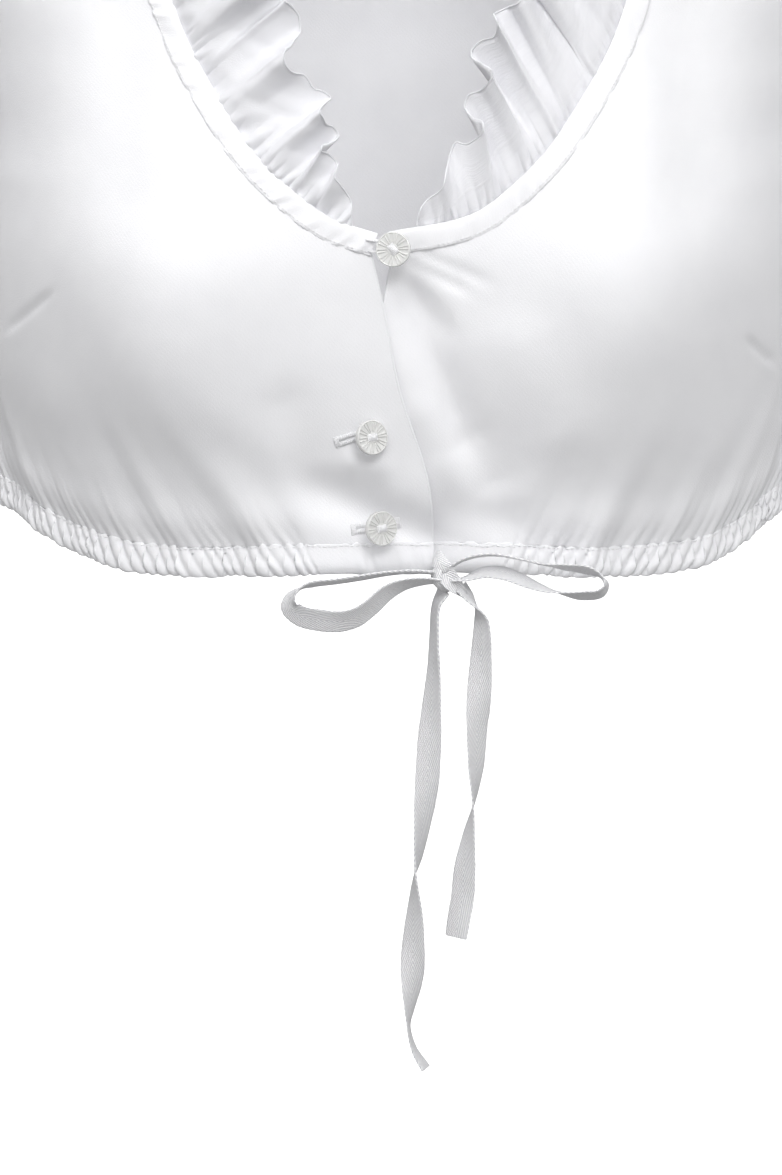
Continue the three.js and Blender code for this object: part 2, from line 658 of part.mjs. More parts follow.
// ---------- buttons and their loop ----------
// Extrusions come with split corners; this joins them.
function joined(geometry) {
  geometry.deleteAttribute("normal");
  geometry.deleteAttribute("uv");
  return mergeVertices(geometry, 1e-3);
}

function buttonGeometry() {
  const { bevel, holeRadius, holeOffset } = button;
  const face = new THREE.Shape().absarc(0, 0, button.radius - bevel, 0, 2 * Math.PI);
  for (const side of [-1, 1]) {
    const hole = range(6).map((i) => {
      const turn = (Math.PI / 3) * i;
      return new THREE.Vector2(side * holeOffset + holeRadius * Math.cos(turn), holeRadius * Math.sin(turn));
    });
    face.holes.push(new THREE.Path(hole).closePath());
  }
  const geometry = new THREE.ExtrudeGeometry(face, {
    depth: button.face,
    bevelThickness: bevel,
    bevelSize: bevel,
    bevelSegments: 1,
    curveSegments: 12,
  });
  geometry.translate(0, 0, -button.face / 2);
  return joined(geometry);
}

// The outer face of the closing at a place.
const closingPoint = (x, height) => frontPoint(-1, angleAt(x, height), height, 1);

for (const spec of buttons) {
  const mesh = add(spec.name, buttonGeometry(), pearl);
  mesh.position.copy(closingPoint(spec.x, spec.height));
  mesh.position.y -= spec.standoff;
  mesh.rotation.set(rad(90 - spec.lean), 0, 0);
  mesh.rotateOnWorldAxis(vec(0, 0, 1), rad(spec.tilt));
}

function buttonLoop() {
  const { y } = closingPoint(-9, 112);
  const thread = new THREE.Shape().absarc(0, 0, threadRadius, 0, 2 * Math.PI);
  const route = loopRoute.map((row) => vec(row.x, y - row.proud, row.height));
  const extrudePath = new THREE.CatmullRomCurve3(route);
  return joined(new THREE.ExtrudeGeometry(thread, { steps: 14, curveSegments: 3, extrudePath }));
}
add("button_loop", buttonLoop(), trim);

// ---------- drawstring ----------
function tape(route, steps, width = tapeSize.width) {
  const line = new THREE.CatmullRomCurve3(route.map((row) => vec(row.x, row.y, row.z)), false, "centripetal");
  const turns = new THREE.CatmullRomCurve3(route.map((row, i) => vec(i, row.turn, 0)), false, "centripetal");
  const frames = range(steps + 1).map((i) => {
    const t = i / steps;
    const tangent = line.getTangent(t);
    const toFront = vec(0, -1, 0).addScaledVector(tangent, tangent.y).normalize();
    const beside = tangent.clone().cross(toFront);
    const turn = rad(turns.getPoint(t).y);
    const face = toFront.clone().multiplyScalar(Math.cos(turn)).addScaledVector(beside, Math.sin(turn));
    return { at: line.getPoint(t), face, across: tangent.clone().cross(face) };
  });
  return sweep(frames, tapeSection.length, (frame, k) =>
    frame.at
      .clone()
      .addScaledVector(frame.across, (tapeSection[k].across * width) / 2)
      .addScaledVector(frame.face, (tapeSection[k].proud * tapeSize.thickness) / 2),
  );
}

function knotGeometry() {
  const geometry = joined(new THREE.SphereGeometry(0.5, 16, 10));
  geometry.scale(knot.length, knot.depth, knot.height);
  return facingOut(geometry);
}

add("tape_loop_right", tape(rightLoopRoute, 18), twill);
add("tape_loop_left", tape(leftLoopRoute, 20), twill);
add("tape_tail_right", tape(rightTailRoute, 20), twill);
add("tape_tail_left", tape(leftTailRoute, 18), twill);
add("tape_lead", tape(leadRoute, 4, tapeSize.leadWidth), twill);

const knotMesh = add("tape_knot", knotGeometry(), twill);
knotMesh.position.set(knot.x, knot.y, knot.z);
knotMesh.rotation.y = rad(knot.turn);

export default group;
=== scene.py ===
"""Looks of a dirndl blouse: cotton satin fronts, back and sleeves, a bound neckline with its ruffle,
a gathered hem casing, a twill tape tied in a bow, and pearl buttons. Lengths are millimetres in the
garment's own height, which starts at the front hem, until a mesh is made in the frame's metres."""

import functools
import math

import bpy
import numpy as np
from mathutils import Matrix, Vector


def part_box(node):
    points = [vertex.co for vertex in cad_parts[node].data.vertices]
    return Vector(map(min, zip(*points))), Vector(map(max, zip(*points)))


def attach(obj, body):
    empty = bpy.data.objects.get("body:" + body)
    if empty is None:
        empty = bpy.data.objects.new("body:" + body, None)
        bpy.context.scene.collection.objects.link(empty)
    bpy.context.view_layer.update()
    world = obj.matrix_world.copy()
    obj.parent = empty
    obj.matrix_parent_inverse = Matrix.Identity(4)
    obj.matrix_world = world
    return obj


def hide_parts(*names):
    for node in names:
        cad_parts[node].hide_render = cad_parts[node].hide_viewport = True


bl_info = {
    "name": "Dirndl blouse",
    "version": (1, 0, 0),
    "blender": (4, 5, 0),
    "location": "View3D > Sidebar > Blouse",
    "description": "Cuts, sews and ties a white dirndl blouse round its packed frame",
    "category": "Add Mesh",
}

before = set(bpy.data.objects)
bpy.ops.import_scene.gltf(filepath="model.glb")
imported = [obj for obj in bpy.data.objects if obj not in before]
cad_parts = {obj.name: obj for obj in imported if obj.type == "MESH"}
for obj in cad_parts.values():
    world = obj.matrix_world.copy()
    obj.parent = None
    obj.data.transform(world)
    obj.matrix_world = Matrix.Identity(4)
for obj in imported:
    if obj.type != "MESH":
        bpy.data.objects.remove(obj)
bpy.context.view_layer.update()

SHOULDER_HEIGHT = 310.0  # the frame's origin, above the front hem
STITCH_HEIGHT = 9.8  # top of the hem casing
ARMPIT_HEIGHT = 165.0
SHOULDER_TIP = (178.0, 300.0)
NECK_POINT = (105.0, 320.0)
BACK_NECK_HEIGHT = 275.0
HEM_RISE = {"back": 17.0, "sag": 2.0, "sag_at": 0.52, "sag_width": 0.2}
SIDE_RISE = {-1: (21.5, 0.5, 2.8), 1: (24.0, 0.71, 1.5)}  # rise at the side seam, where it starts, its bend
SQUARENESS = 2.3  # exponent of the body's cross-sections
WIDEST = (151.5, 114.0)  # half width and front depth where the body is fullest
WIDEST_BACK = 93.0  # depth of the back there

# The worn form: height, half width, depth of the front, depth of the back.
SECTIONS = np.array(
    [
        (0, 143, 101, 84),
        (40, 149, 108, 87),
        (90, 151.5, 114, 90),
        (130, 149.5, 113, 93),
        (165, 150, 108, 96),
        (200, 166, 99, 97),
        (250, 200, 79, 88),
        (285, 260, 56, 66),
        (320, 330, 0, 0),
    ],
    float,
)
HALF_WIDTH, FRONT_DEPTH, BACK_DEPTH = 1, 2, 3
CUP = {"x": 88.0, "height": 97.0, "depth": 29.0, "half_width": 44.0, "below": 52.0, "above": 68.0}
# The closing's lap: step above, step at the hem, how far from the centre it is full, and gone.
LAP = {-1: (1.3, 1.6, 22.0, 52.0), 1: (-1.1, -1.4, 14.0, 44.0)}

# Edges as x and height, from the hem up the closing, then along the neckline to the shoulder.
CLOSING = {
    -1: [(13, 9.8), (10.5, 33), (1, 64), (-4.8, 94), (-8.5, 110.5)],
    1: [(-19, 9.8), (-20.5, 47), (-12, 72), (-5.2, 91), (-1.5, 110.8)],
}
NECKLINE = {
    -1: [
        (-8.5, 110.5), (-23.5, 115.5), (-37, 124.5), (-53.5, 140.5), (-68, 162),
        (-80.5, 185), (-92.5, 222), (-100.5, 265), (-105, 320),
    ],
    1: [
        (-1.5, 110.8), (21.4, 115), (32, 119.5), (53.5, 138.5), (67, 157),
        (80, 180), (92.5, 220), (100.5, 265), (105, 320),
    ],
}

# Soft ridges (+) and troughs (-) of the fronts: from x, height to x, height, depth, half width.
FOLDS = {
    -1: [
        (-94, 81, -33, 22, 1.2, 17),
        (-101, 62, -70, 8, -0.9, 16),
        (-110, 30, -50, 26, 1.2, 17),
        (-125, 56, -46, 52, 1.7, 17),
        (-38, 62, -30, 40, -1.5, 9),
        (-134, 83, -120.5, 94, -1.3, 1.5),
        (-92, 195, -94, 128, -3.5, 15),
    ],
    1: [
        (3, 107.5, 22, 99, -1.2, 2.4),
        (9, 110, 28, 102, -1.0, 2.2),
        (1, 103, 17, 84, -1.7, 4),
        (-2, 97, 8, 54, 1.4, 6),
        (3, 97, 22, 52, -5.2, 7.5),
        (24, 48, 34, 30, -2.6, 9),
        (38, 84, 54, 44, 2.6, 14),
        (121.5, 78.5, 130, 71, -1.3, 1.5),
        (50, 26, 110, 30, 1.0, 17),
        (62, 48, 130, 45, 1.8, 15),
        (16, 22, 44, 17, -3.0, 8),
        (10, 58, 17, 36, 1.2, 6),
        (100, 195, 101, 128, -3.5, 15),
    ],
    "lapped": [
        (-31, 31, 16, 10, -5.6, 8.5),
        (-17, 40, -4, 37, 1.3, 4.5),
    ],
}

# Steps of the panels' edges: up the closing or centre back, along the neckline, side seam, armhole.
CLOSING_STEPS, NECK_STEPS, SIDE_STEPS, HOLE_STEPS = 8, 14, 10, 12
BACK_STEPS, BACK_NECK_STEPS = 14, 8
GATHER_REACH, GATHER_DEPTH = 4.6, 1.3  # how far the hem's puffs rise up a panel, and how deep they are
FLAT_HEM = {-1: 44.0, 1: 59.0}  # hem length beside the closing that isn't gathered
CUFF = {"x": 222.0, "height": 178.0, "radius": 61.0, "lean": math.radians(33.5), "fall": math.radians(12)}


# ---------- small maths ----------
def mix(a, b, t):
    return a + (b - a) * t


def smoothstep(x, low, high):
    t = np.clip((np.asarray(x, float) - low) / (high - low), 0, 1)
    return t * t * (3 - 2 * t)


def signed_power(value, power):
    return np.sign(value) * np.abs(value) ** power


def unit(vectors):
    return vectors / np.maximum(np.linalg.norm(vectors, axis=-1, keepdims=True), 1e-9)


def steps_along(points):
    """Length along a line of points, up to each of them."""
    return np.concatenate([[0], np.cumsum(np.linalg.norm(np.diff(points, axis=0), axis=1))])


def read_along(s, reach, values):
    """The rows of values at lengths s, where reach is the length at each of them."""
    return np.stack([np.interp(s, reach, values[:, k]) for k in range(values.shape[1])], -1)


def smooth_line(rows, steps):
    """Dense points on the smooth curve through the rows, the same number between any two."""
    p = np.asarray(rows, float)
    ends = [2 * p[0] - p[1], *p, 2 * p[-1] - p[-2]]
    t = np.linspace(0, 1, steps, endpoint=False)[:, None]
    pieces = []
    for a, b, c, d in zip(ends, ends[1:], ends[2:], ends[3:]):
        ab, bc, cd = (math.sqrt(max(np.linalg.norm(v), 1e-6)) for v in (b - a, c - b, d - c))
        leaving = ((b - a) / ab - (c - a) / (ab + bc) + (c - b) / bc) * bc
        arriving = ((c - b) / bc - (d - b) / (bc + cd) + (d - c) / cd) * bc
        bend = -3 * b + 3 * c - 2 * leaving - arriving
        pieces.append(b + leaving * t + bend * t**2 + (2 * b - 2 * c + leaving + arriving) * t**3)
    return np.concatenate([*pieces, p[-1:]])


def even_line(rows, shares):
    """Points at shares of the length of the smooth curve through the rows."""
    dense = smooth_line(rows, 60)
    reach = steps_along(dense)
    return read_along(np.asarray(shares) * reach[-1], reach, dense)


def waver(s, seed, pitch):
    """Smooth noise from -1 to 1 along a length, with bends about a pitch apart."""
    rng = np.random.default_rng(seed)
    values = rng.uniform(-1, 1, 4096)
    place = np.asarray(s, float) / pitch + 512
    i = np.floor(place).astype(int)
    t = place - i
    return mix(values[i % 4096], values[(i + 1) % 4096], t * t * (3 - 2 * t))


# ---------- the worn form ----------
def section(column, height, power=1):
    """A column of the sections at a height; depths are read as squares, so the shoulder closes roundly."""
    height = np.asarray(height, float)
    knots = SECTIONS[:, 0]
    value = SECTIONS[:, column] ** power
    slope = np.empty(len(knots))
    slope[1:-1] = (value[2:] - value[:-2]) / (knots[2:] - knots[:-2])
    slope[0] = (value[1] - value[0]) / (knots[1] - knots[0])
    slope[-1] = (value[-1] - value[-2]) / (knots[-1] - knots[-2])
    i = np.clip(np.searchsorted(knots, height) - 1, 0, len(knots) - 2)
    step = knots[i + 1] - knots[i]
    t = np.clip((height - knots[i]) / step, 0, 1)
    leaving = value[i] + slope[i] * step * t
    arriving = value[i + 1] - slope[i + 1] * step * (1 - t)
    return np.maximum(mix(leaving, arriving, t * t * (3 - 2 * t)), 0) ** (1 / power)


def shoulder_drop(x, height):
    """The shoulders fall away outside the neck point, so a place there belongs to a higher section."""
    fall = (NECK_POINT[1] - SHOULDER_TIP[1]) / (SHOULDER_TIP[0] - NECK_POINT[0])
    return fall * (x - NECK_POINT[0]) * smoothstep(height, 200, SHOULDER_TIP[1])


def hem_rise(front, angle, height, side):
    """How far the hem is lifted: it sags either side of the closing, then climbs to the side seams."""
    share = np.abs(np.sin(angle)) ** (2 / SQUARENESS)
    at_side, start, bend = SIDE_RISE[side]
    if front:
        rise = at_side * np.maximum(0, (share - start) / (1 - start)) ** bend
        rise = rise - HEM_RISE["sag"] * np.exp(-(((share - HEM_RISE["sag_at"]) / HEM_RISE["sag_width"]) ** 2))
    else:
        rise = mix(HEM_RISE["back"], at_side, share**3)
    return rise * (1 - smoothstep(height, STITCH_HEIGHT, ARMPIT_HEIGHT))


def angle_at(x, height):
    share = np.clip(x / section(HALF_WIDTH, height), -1, 1)
    return np.arcsin(signed_power(share, SQUARENESS / 2))


def form_point(front, angle, height, side):
    """A place on the form: angle 0 is the centre and +-90 degrees the side seams."""
    x = section(HALF_WIDTH, height) * signed_power(np.sin(angle), 2 / SQUARENESS)
    z = height + hem_rise(front, angle, height, side)
    depth = section(FRONT_DEPTH if front else BACK_DEPTH, height + shoulder_drop(np.abs(x), height), 2)
    y = depth * np.maximum(np.cos(angle), 0) ** (2 / SQUARENESS)
    if not front:
        return np.stack([x, np.maximum(y, 0), z], -1)
    reach = np.where(height < CUP["height"], CUP["below"], CUP["above"])
    across = (np.abs(x) - CUP["x"]) / CUP["half_width"]
    bulge = CUP["depth"] * np.exp(-(across**2) - ((height - CUP["height"]) / reach) ** 2)
    return np.stack([x, np.minimum(-y - bulge * np.cos(angle), 0), z], -1)


def relief(folds, lap, side, x, z):
    """How far the folds and the lap of the closing move a front outwards at a place."""
    total = np.zeros_like(x)
    for x0, z0, x1, z1, depth, half_width in folds:
        dx, dz = x1 - x0, z1 - z0
        t = ((x - x0) * dx + (z - z0) * dz) / (dx * dx + dz * dz)
        spread = ((x - x0) * dz - (z - z0) * dx) / math.hypot(dx, dz) / half_width
        beyond = np.maximum(0, np.abs(t - 0.5) - 0.35) / 0.3
        total += depth * np.exp(-(spread**2) - beyond**2)
    above, at_hem, full, gone = lap
    step = mix(at_hem, above, smoothstep(z, 12, 40))
    return total + step * (1 - smoothstep(x * side, full, gone))


def outer_ends(rho, side):
    """Height and angle of a panel's outer end at steps rho: up the side seam, then round the armhole."""
    seam = mix(STITCH_HEIGHT, ARMPIT_HEIGHT, np.clip(rho / SIDE_STEPS, 0, 1))
    turn = np.pi * np.clip((rho - SIDE_STEPS) / HOLE_STEPS, 0, 1)
    share = (1 - np.cos(turn)) / 2
    hole = mix(ARMPIT_HEIGHT, SHOULDER_TIP[1], share)
    x = mix(section(HALF_WIDTH, ARMPIT_HEIGHT), SHOULDER_TIP[0], share)
    angle = np.where(rho <= SIDE_STEPS, np.pi / 2, angle_at(x, hole))
    return np.where(rho <= SIDE_STEPS, seam, hole), angle * side


def outward(grid, facing):
    """Unit normals of a grid of points, turned to look the way that facing does."""
    across = np.gradient(grid, axis=1)
    along = np.gradient(grid, axis=0)
    normal = unit(np.cross(across, along))
    turn = np.sign((normal * facing).sum(-1).mean())
    return normal * turn


# ---------- gathers ----------
class Gathers:
    """Uneven puffs side by side along a seam, each with its own height and reach up the cloth."""

    def __init__(self, start, length, pitch, seed, reach, slant=0.42):
        rng = np.random.default_rng(seed)
        count = max(round((length - start) / pitch), 1)
        width = rng.uniform(0.65, 1.35, count)
        self.edges = start + np.concatenate([[0], np.cumsum(width)]) * (length - start) / width.sum()
        self.height = rng.uniform(0.55, 1.2, count)
        long_ones = rng.random(count) < 0.25
        self.reach = np.where(long_ones, rng.uniform(1.6, 2.4, count), rng.uniform(0.6, 1.5, count)) * reach
        self.seed, self.slant = seed, slant

    def lift(self, s, up=0.0):
        """From -0.6 in a crease to about 0.5 on a puff, at s along the seam and up above it."""
        up = np.asarray(up, float)
        s = np.asarray(s, float)
        s = s - up * self.slant + 0.16 * up * waver(s, self.seed + 5, 13)
        k = np.clip(np.searchsorted(self.edges, s) - 1, 0, len(self.height) - 1)
        t = np.clip((s - self.edges[k]) / (self.edges[k + 1] - self.edges[k]), 0, 1)
        inside = (s > self.edges[0]) & (s < self.edges[-1])
        puff = self.height[k] * np.sin(np.pi * t) ** 0.8 - 0.6
        fade = np.exp(-((np.maximum(up, 0) / self.reach[k]) ** 1.3))
        return np.where(inside, puff * fade, 0.0)


# ---------- meshes ----------
def placed(points):
    """Garment millimetres to the frame's metres."""
    return (np.asarray(points, float).reshape(-1, 3) - (0, 0, SHOULDER_HEIGHT)) / 1000


def grid_faces(rows, columns):
    corner = (np.arange(rows - 1)[:, None] * columns + np.arange(columns - 1)).ravel()
    return np.stack([corner, corner + 1, corner + columns + 1, corner + columns], 1)


def new_piece(name, points, faces, uv, material):
    """A mesh in its place, with its millimetres of cloth as the UV map "grain"."""
    mesh = bpy.data.meshes.new(name)
    mesh.from_pydata(placed(points).tolist(), [], [list(map(int, f)) for f in faces])
    layer = mesh.uv_layers.new(name="grain")
    corners = np.empty(len(mesh.loops), np.int32)
    mesh.loops.foreach_get("vertex_index", corners)
    layer.data.foreach_set("uv", np.asarray(uv, np.float32).reshape(-1, 2)[corners].ravel())
    mesh.shade_smooth()
    mesh.materials.append(material)
    piece = bpy.data.objects.new(name, mesh)
    bpy.context.scene.collection.objects.link(piece)
    return piece


def deselect_all():
    for other in list(bpy.context.selected_objects):
        other.select_set(False)


def choose(piece):
    """Only this piece is selected and active."""
    deselect_all()
    piece.select_set(True)
    bpy.context.view_layer.objects.active = piece


def apply_modifier(piece, kind, **settings):
    choose(piece)
    modifier = piece.modifiers.new(kind.title(), kind)
    for name, value in settings.items():
        setattr(modifier, name, value)
    bpy.ops.object.modifier_apply(modifier=modifier.name)


def close_mesh(piece, turn=True):
    """Corners in one place become one, and the faces look outwards."""
    choose(piece)
    bpy.ops.object.mode_set(mode="EDIT")
    bpy.ops.mesh.select_all(action="SELECT")
    bpy.ops.mesh.remove_doubles(threshold=2e-6)
    if turn:
        bpy.ops.mesh.normals_make_consistent(inside=False)
    bpy.ops.object.mode_set(mode="OBJECT")


def own_grain(grid):
    """Millimetres of cloth from a grid's first column and row."""
    across, along = (np.linalg.norm(np.diff(grid, axis=k), axis=2) for k in (1, 0))
    u = np.concatenate([np.zeros((len(grid), 1)), np.cumsum(across, 1)], 1)
    v = np.concatenate([np.zeros((1, grid.shape[1])), np.cumsum(along, 0)], 0)
    return np.stack([u, v], -1)


def body_grain(column):
    """The same for a panel, measured round the body from its centre and up the form's profile."""
    height = np.linspace(-20, SECTIONS[-1, 0] + 2, 900)
    climb = steps_along(np.stack([height, section(column, height, 2)], -1))

    def grain(grid):
        reach = own_grain(grid)[..., 0]
        turn = np.sign(grid[:, -1:, 0] - grid[:, :1, 0])
        return np.stack([grid[:, :1, 0] + turn * reach, np.interp(grid[..., 2], height, climb)], -1)

    return grain


def cloth_sheet(name, grids, material, thickness, facing, grain=own_grain):
    """A cloth wall whose outer face runs through the grids' points; facing gives its outward side."""
    points, faces, uv, count = [], [], [], 0
    for grid in grids:
        rows, columns = grid.shape[:2]
        found = grid_faces(rows, columns) + count
        flat = grid.reshape(-1, 3)
        a, b, d = (flat[found[:, k] - count] for k in (0, 1, 3))
        normal = np.cross(b - a, d - a)
        if (normal * facing(a)).sum() < 0:
            found = found[:, ::-1]
        points.append(flat)
        faces.append(found)
        uv.append(grain(grid).reshape(-1, 2))
        count += len(flat)
    piece = new_piece(name, np.concatenate(points), np.concatenate(faces), np.concatenate(uv), material)
    close_mesh(piece, turn=False)
    apply_modifier(piece, "SOLIDIFY", thickness=thickness / 1000, offset=-1.0, use_even_offset=False)
    return piece


def joined_round(rings):
    """Rings with their first point repeated at the end."""
    return np.concatenate([rings, rings[:, :1]], 1)


def spokes(beside, over, angles):
    """Points of a unit circle in the planes of beside and over."""
    return beside[:, None] * np.cos(angles)[None, :, None] + over[:, None] * np.sin(angles)[None, :, None]


def tube(name, rings, around, along, material):
    """A capped tube through rings that are joined round; around and along are its UV lengths."""
    count, size_round = rings.shape[:2]
    uv = np.stack(np.broadcast_arrays(around[None, :], along[:, None]), -1)
    faces = [tuple(f) for f in grid_faces(count, size_round)]
    last = (count - 1) * size_round
    faces += [tuple(range(size_round - 1)), tuple(last + k for k in range(size_round - 1))]
    piece = new_piece(name, rings, faces, uv, material)
    close_mesh(piece)
    return piece


def sweep(name, frames, outline, material):
    """A closed outline carried along frames: outline(i) gives its points, in the garment, at frame i."""
    rings = joined_round(np.stack([outline(i) for i in range(frames)]))
    around = np.concatenate([[0], np.cumsum(np.linalg.norm(np.diff(rings, axis=1), axis=2).mean(0))])
    return tube(name, rings, around, steps_along(rings.mean(1)), material)


def joined(name, pieces):
    """Several meshes made one piece."""
    choose(pieces[0])
    for piece in pieces[1:]:
        piece.select_set(True)
    if len(pieces) > 1:
        bpy.ops.object.join()
    pieces[0].name = name
    pieces[0].data.name = name
    return pieces[0]


def dress(piece, slot, *nodes):
    """The finished piece rides on the frame and stands for its CAD nodes."""
    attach(piece, "root")
    if nodes:
        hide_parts(*nodes)
    return piece


def declare_cloth(piece, flat):
    """Works out the area of a piece's cut from its faces, held between 0.31 and 1 times the width by the
    length that it was cut from; the area goes no further, and the piece comes back unchanged.
    """
    area = sum(polygon.area for polygon in piece.data.polygons) / 2
    width, length = flat
    area = min(max(area, 0.31 * width * length), width * length)
    return piece


class Rail:
    """A seam to sew along: places with their directions away from the panel and out of its face."""

    def __init__(self, at, normal, away, reach=None):
        self.at, self.normal, self.away = at, unit(normal), unit(away)
        self.tangent = unit(np.gradient(at, axis=0))
        self.reach = steps_along(at) if reach is None else reach
        self.length = self.reach[-1]

    def sample(self, s):
        """The same at lengths s along it."""
        at, *directions = (
            read_along(s, self.reach, values) for values in (self.at, self.normal, self.away, self.tangent)
        )
        return at, *(unit(each) for each in directions)


# ---------- panels ----------
def front_edge(side, rho):
    """Front edge at steps rho: up the closing, then along the neckline."""
    closing = even_line(CLOSING[side], np.clip(rho / CLOSING_STEPS, 0, 1))
    neck = even_line(NECKLINE[side], np.clip((rho - CLOSING_STEPS) / NECK_STEPS, 0, 1))
    edge = np.where((rho <= CLOSING_STEPS)[:, None], closing, neck)
    return edge[:, 0], edge[:, 1]


def front_grid(side):
    """Points of a front's outer face, rows up from the hem and columns from the closing to the side."""
    low = np.linspace(0, 2.6, 28, endpoint=False)
    middle = np.linspace(2.6, CLOSING_STEPS, 46, endpoint=False)
    high = np.linspace(CLOSING_STEPS, CLOSING_STEPS + NECK_STEPS, 78)
    rho = np.concatenate([low, middle, high])
    x, height = front_edge(side, rho)
    end_height, end_angle = outer_ends(rho, side)
    start_angle = angle_at(x, height)
    shares = even_columns(side, x[0], 300)
    angle = mix(start_angle[:, None], end_angle[:, None], shares)
    level = mix(height[:, None], end_height[:, None], shares)
    form = form_point(True, angle, level, side)
    out = unit(np.stack([form[..., 0] / WIDEST[0] ** 2, form[..., 1] / WIDEST[1] ** 2, 0 * level], -1))
    free = 1 - shares**6
    moved = relief(FOLDS[side] + FOLDS["lapped"], LAP[side], side, form[..., 0], form[..., 2]) * free
    bottom = steps_along(form[0])
    gathers = Gathers(FLAT_HEM[side], bottom[-1], size("gather_pitch"), 3 + side, GATHER_REACH)
    up = level - STITCH_HEIGHT
    moved = moved + GATHER_DEPTH * gathers.lift(bottom[None, :], up)
    moved = moved + soft_pulls(side, bottom, up)
    grid = form + out * moved[..., None]
    grid[-1, :, 1] = 0
    return grid, gathers, rho, bottom


def soft_pulls(side, bottom, up):
    """Longer, softer folds that rise from the gathers."""
    lean = bottom - 0.5 * up + 0.4 * up * waver(bottom, 17 + side, 40)
    wave = waver(lean, 11 + side, 4.5) * np.exp(-((up / 12) ** 1.5)) * 0.5
    long_wave = waver(lean, 13 + side, 9.5) * np.exp(-((up / 30) ** 2)) * 1.5
    pouch = np.exp(-(((up - 9) / 7) ** 2))
    return (wave + long_wave + pouch) * smoothstep(bottom, FLAT_HEM[side] - 6, FLAT_HEM[side] + 10)


def even_columns(side, x, count):
    """Shares of the angle that space a row evenly along the hem."""
    fine = np.linspace(0, 1, 1200)
    start = angle_at(x, STITCH_HEIGHT)
    row = form_point(True, mix(start, side * np.pi / 2, fine), np.full(1200, STITCH_HEIGHT), side)
    reach = steps_along(row)
    return np.interp(np.linspace(0, reach[-1], count), reach, fine)


def back_edge(rho):
    centre = mix(STITCH_HEIGHT, BACK_NECK_HEIGHT, np.clip(rho / BACK_STEPS, 0, 1))
    turn = np.pi / 2 * np.clip((rho - BACK_STEPS) / BACK_NECK_STEPS, 0, 1)
    neck = NECK_POINT[1] - (NECK_POINT[1] - BACK_NECK_HEIGHT) * np.cos(turn)
    on_neck = rho > BACK_STEPS
    return np.where(on_neck, NECK_POINT[0] * np.sin(turn), 0), np.where(on_neck, neck, centre)


def back_grid(side):
    low = np.linspace(0, 1.4, 16, endpoint=False)
    middle = np.linspace(1.4, BACK_STEPS, 44, endpoint=False)
    high = np.linspace(BACK_STEPS, BACK_STEPS + BACK_NECK_STEPS, 30)
    rho = np.concatenate([low, middle, high])
    x, height = back_edge(rho)
    end_height, end_angle = outer_ends(rho, side)
    shares = np.linspace(0, 1, 230)
    angle = mix(angle_at(x * side, height)[:, None], end_angle[:, None], shares)
    level = mix(height[:, None], end_height[:, None], shares)
    form = form_point(False, angle, level, side)
    bottom = steps_along(form[0])
    gathers = Gathers(-2.0, bottom[-1], size("gather_pitch"), 21 + side, GATHER_REACH)
    up = level - STITCH_HEIGHT
    out = unit(np.stack([form[..., 0] / WIDEST[0] ** 2, form[..., 1] / WIDEST_BACK**2, 0 * level], -1))
    from_centre = side * bottom + 3 * np.sin(up / 9)
    soft = waver(from_centre, 31, 6.0) * np.exp(-((up / 22) ** 1.6))
    soft = soft + 1.6 * waver(from_centre, 33, 12.0) * np.exp(-((up / 45) ** 2))
    drape = 1.8 * waver(form[..., 0] + 0.25 * level, 41, 30) * smoothstep(level, 20, 90)
    moved = GATHER_DEPTH * gathers.lift(bottom[None, :], up) * smoothstep(shares, 0, 0.02) + soft + drape
    moved = moved * (1 - shares**6)
    grid = form + out * moved[..., None]
    grid[-1, :, 1] = 0
    return grid, gathers, rho, bottom


class Cut:
    """The cut pieces' grids, worked out once and shared by everything sewn to them."""

    def __init__(self):
        self.front = {side: front_grid(side) for side in (-1, 1)}
        self.back = {side: back_grid(side) for side in (-1, 1)}
        self.neck = self.neck_rail()
        self.hem = {("front", side): self.hem_rail(side) for side in (-1, 1)}
        self.hem["back", 0] = self.back_hem_rail()

    def neck_rail(self):
        parts = []
        for side in (-1, 1):
            panels = ((self.front, CLOSING_STEPS, (0, -1, 0)), (self.back, BACK_STEPS, (0, 1, 0)))
            for panel, neck_from, facing in panels:
                grid, _, rho, _ = panel[side]
                rows = np.flatnonzero(rho >= neck_from)
                parts.append((grid[rows, 0], outward(grid, facing)[rows, 0]))
        right, right_back, left, left_back = parts
        at = np.concatenate([right[0][:-1], right_back[0][::-1], left_back[0][1:], left[0][::-1][1:]])
        normal = np.concatenate([right[1][:-1], right_back[1][::-1], left_back[1][1:], left[1][::-1][1:]])
        normal = unit(smoothed(normal, 5))
        tangent = unit(smoothed(np.gradient(at, axis=0), 3))
        return Rail(at, normal, np.cross(tangent, normal))

    def hem_rail(self, side):
        grid, _, _, bottom = self.front[side]
        level = unit(outward(grid[:4], (0, -1, 0))[0] * (1, 1, 0))
        return Rail(grid[0], level, np.tile((0.0, 0.0, -1.0), (len(level), 1)), bottom)

    def back_hem_rail(self):
        right, left = self.back[-1][0], self.back[1][0]
        row = np.concatenate([left[0][::-1], right[0][1:]])
        normals = [outward(grid[:4], (0, 1, 0))[0] * (1, 1, 0) for grid in (left, right)]
        normal = np.concatenate([normals[0][::-1], normals[1][1:]])
        left_reach, right_reach = self.back[1][3], self.back[-1][3]
        reach = np.concatenate([left_reach[-1] - left_reach[::-1], left_reach[-1] + right_reach[1:]])
        return Rail(row, unit(normal), np.tile((0.0, 0.0, -1.0), (len(row), 1)), reach)


def smoothed(values, width):
    """A running mean over rows, with the ends held."""
    padded = np.concatenate([np.repeat(values[:1], width, 0), values, np.repeat(values[-1:], width, 0)])
    kernel = np.ones(2 * width + 1) / (2 * width + 1)
    return np.stack([np.convolve(padded[:, k], kernel, "valid") for k in range(values.shape[1])], -1)


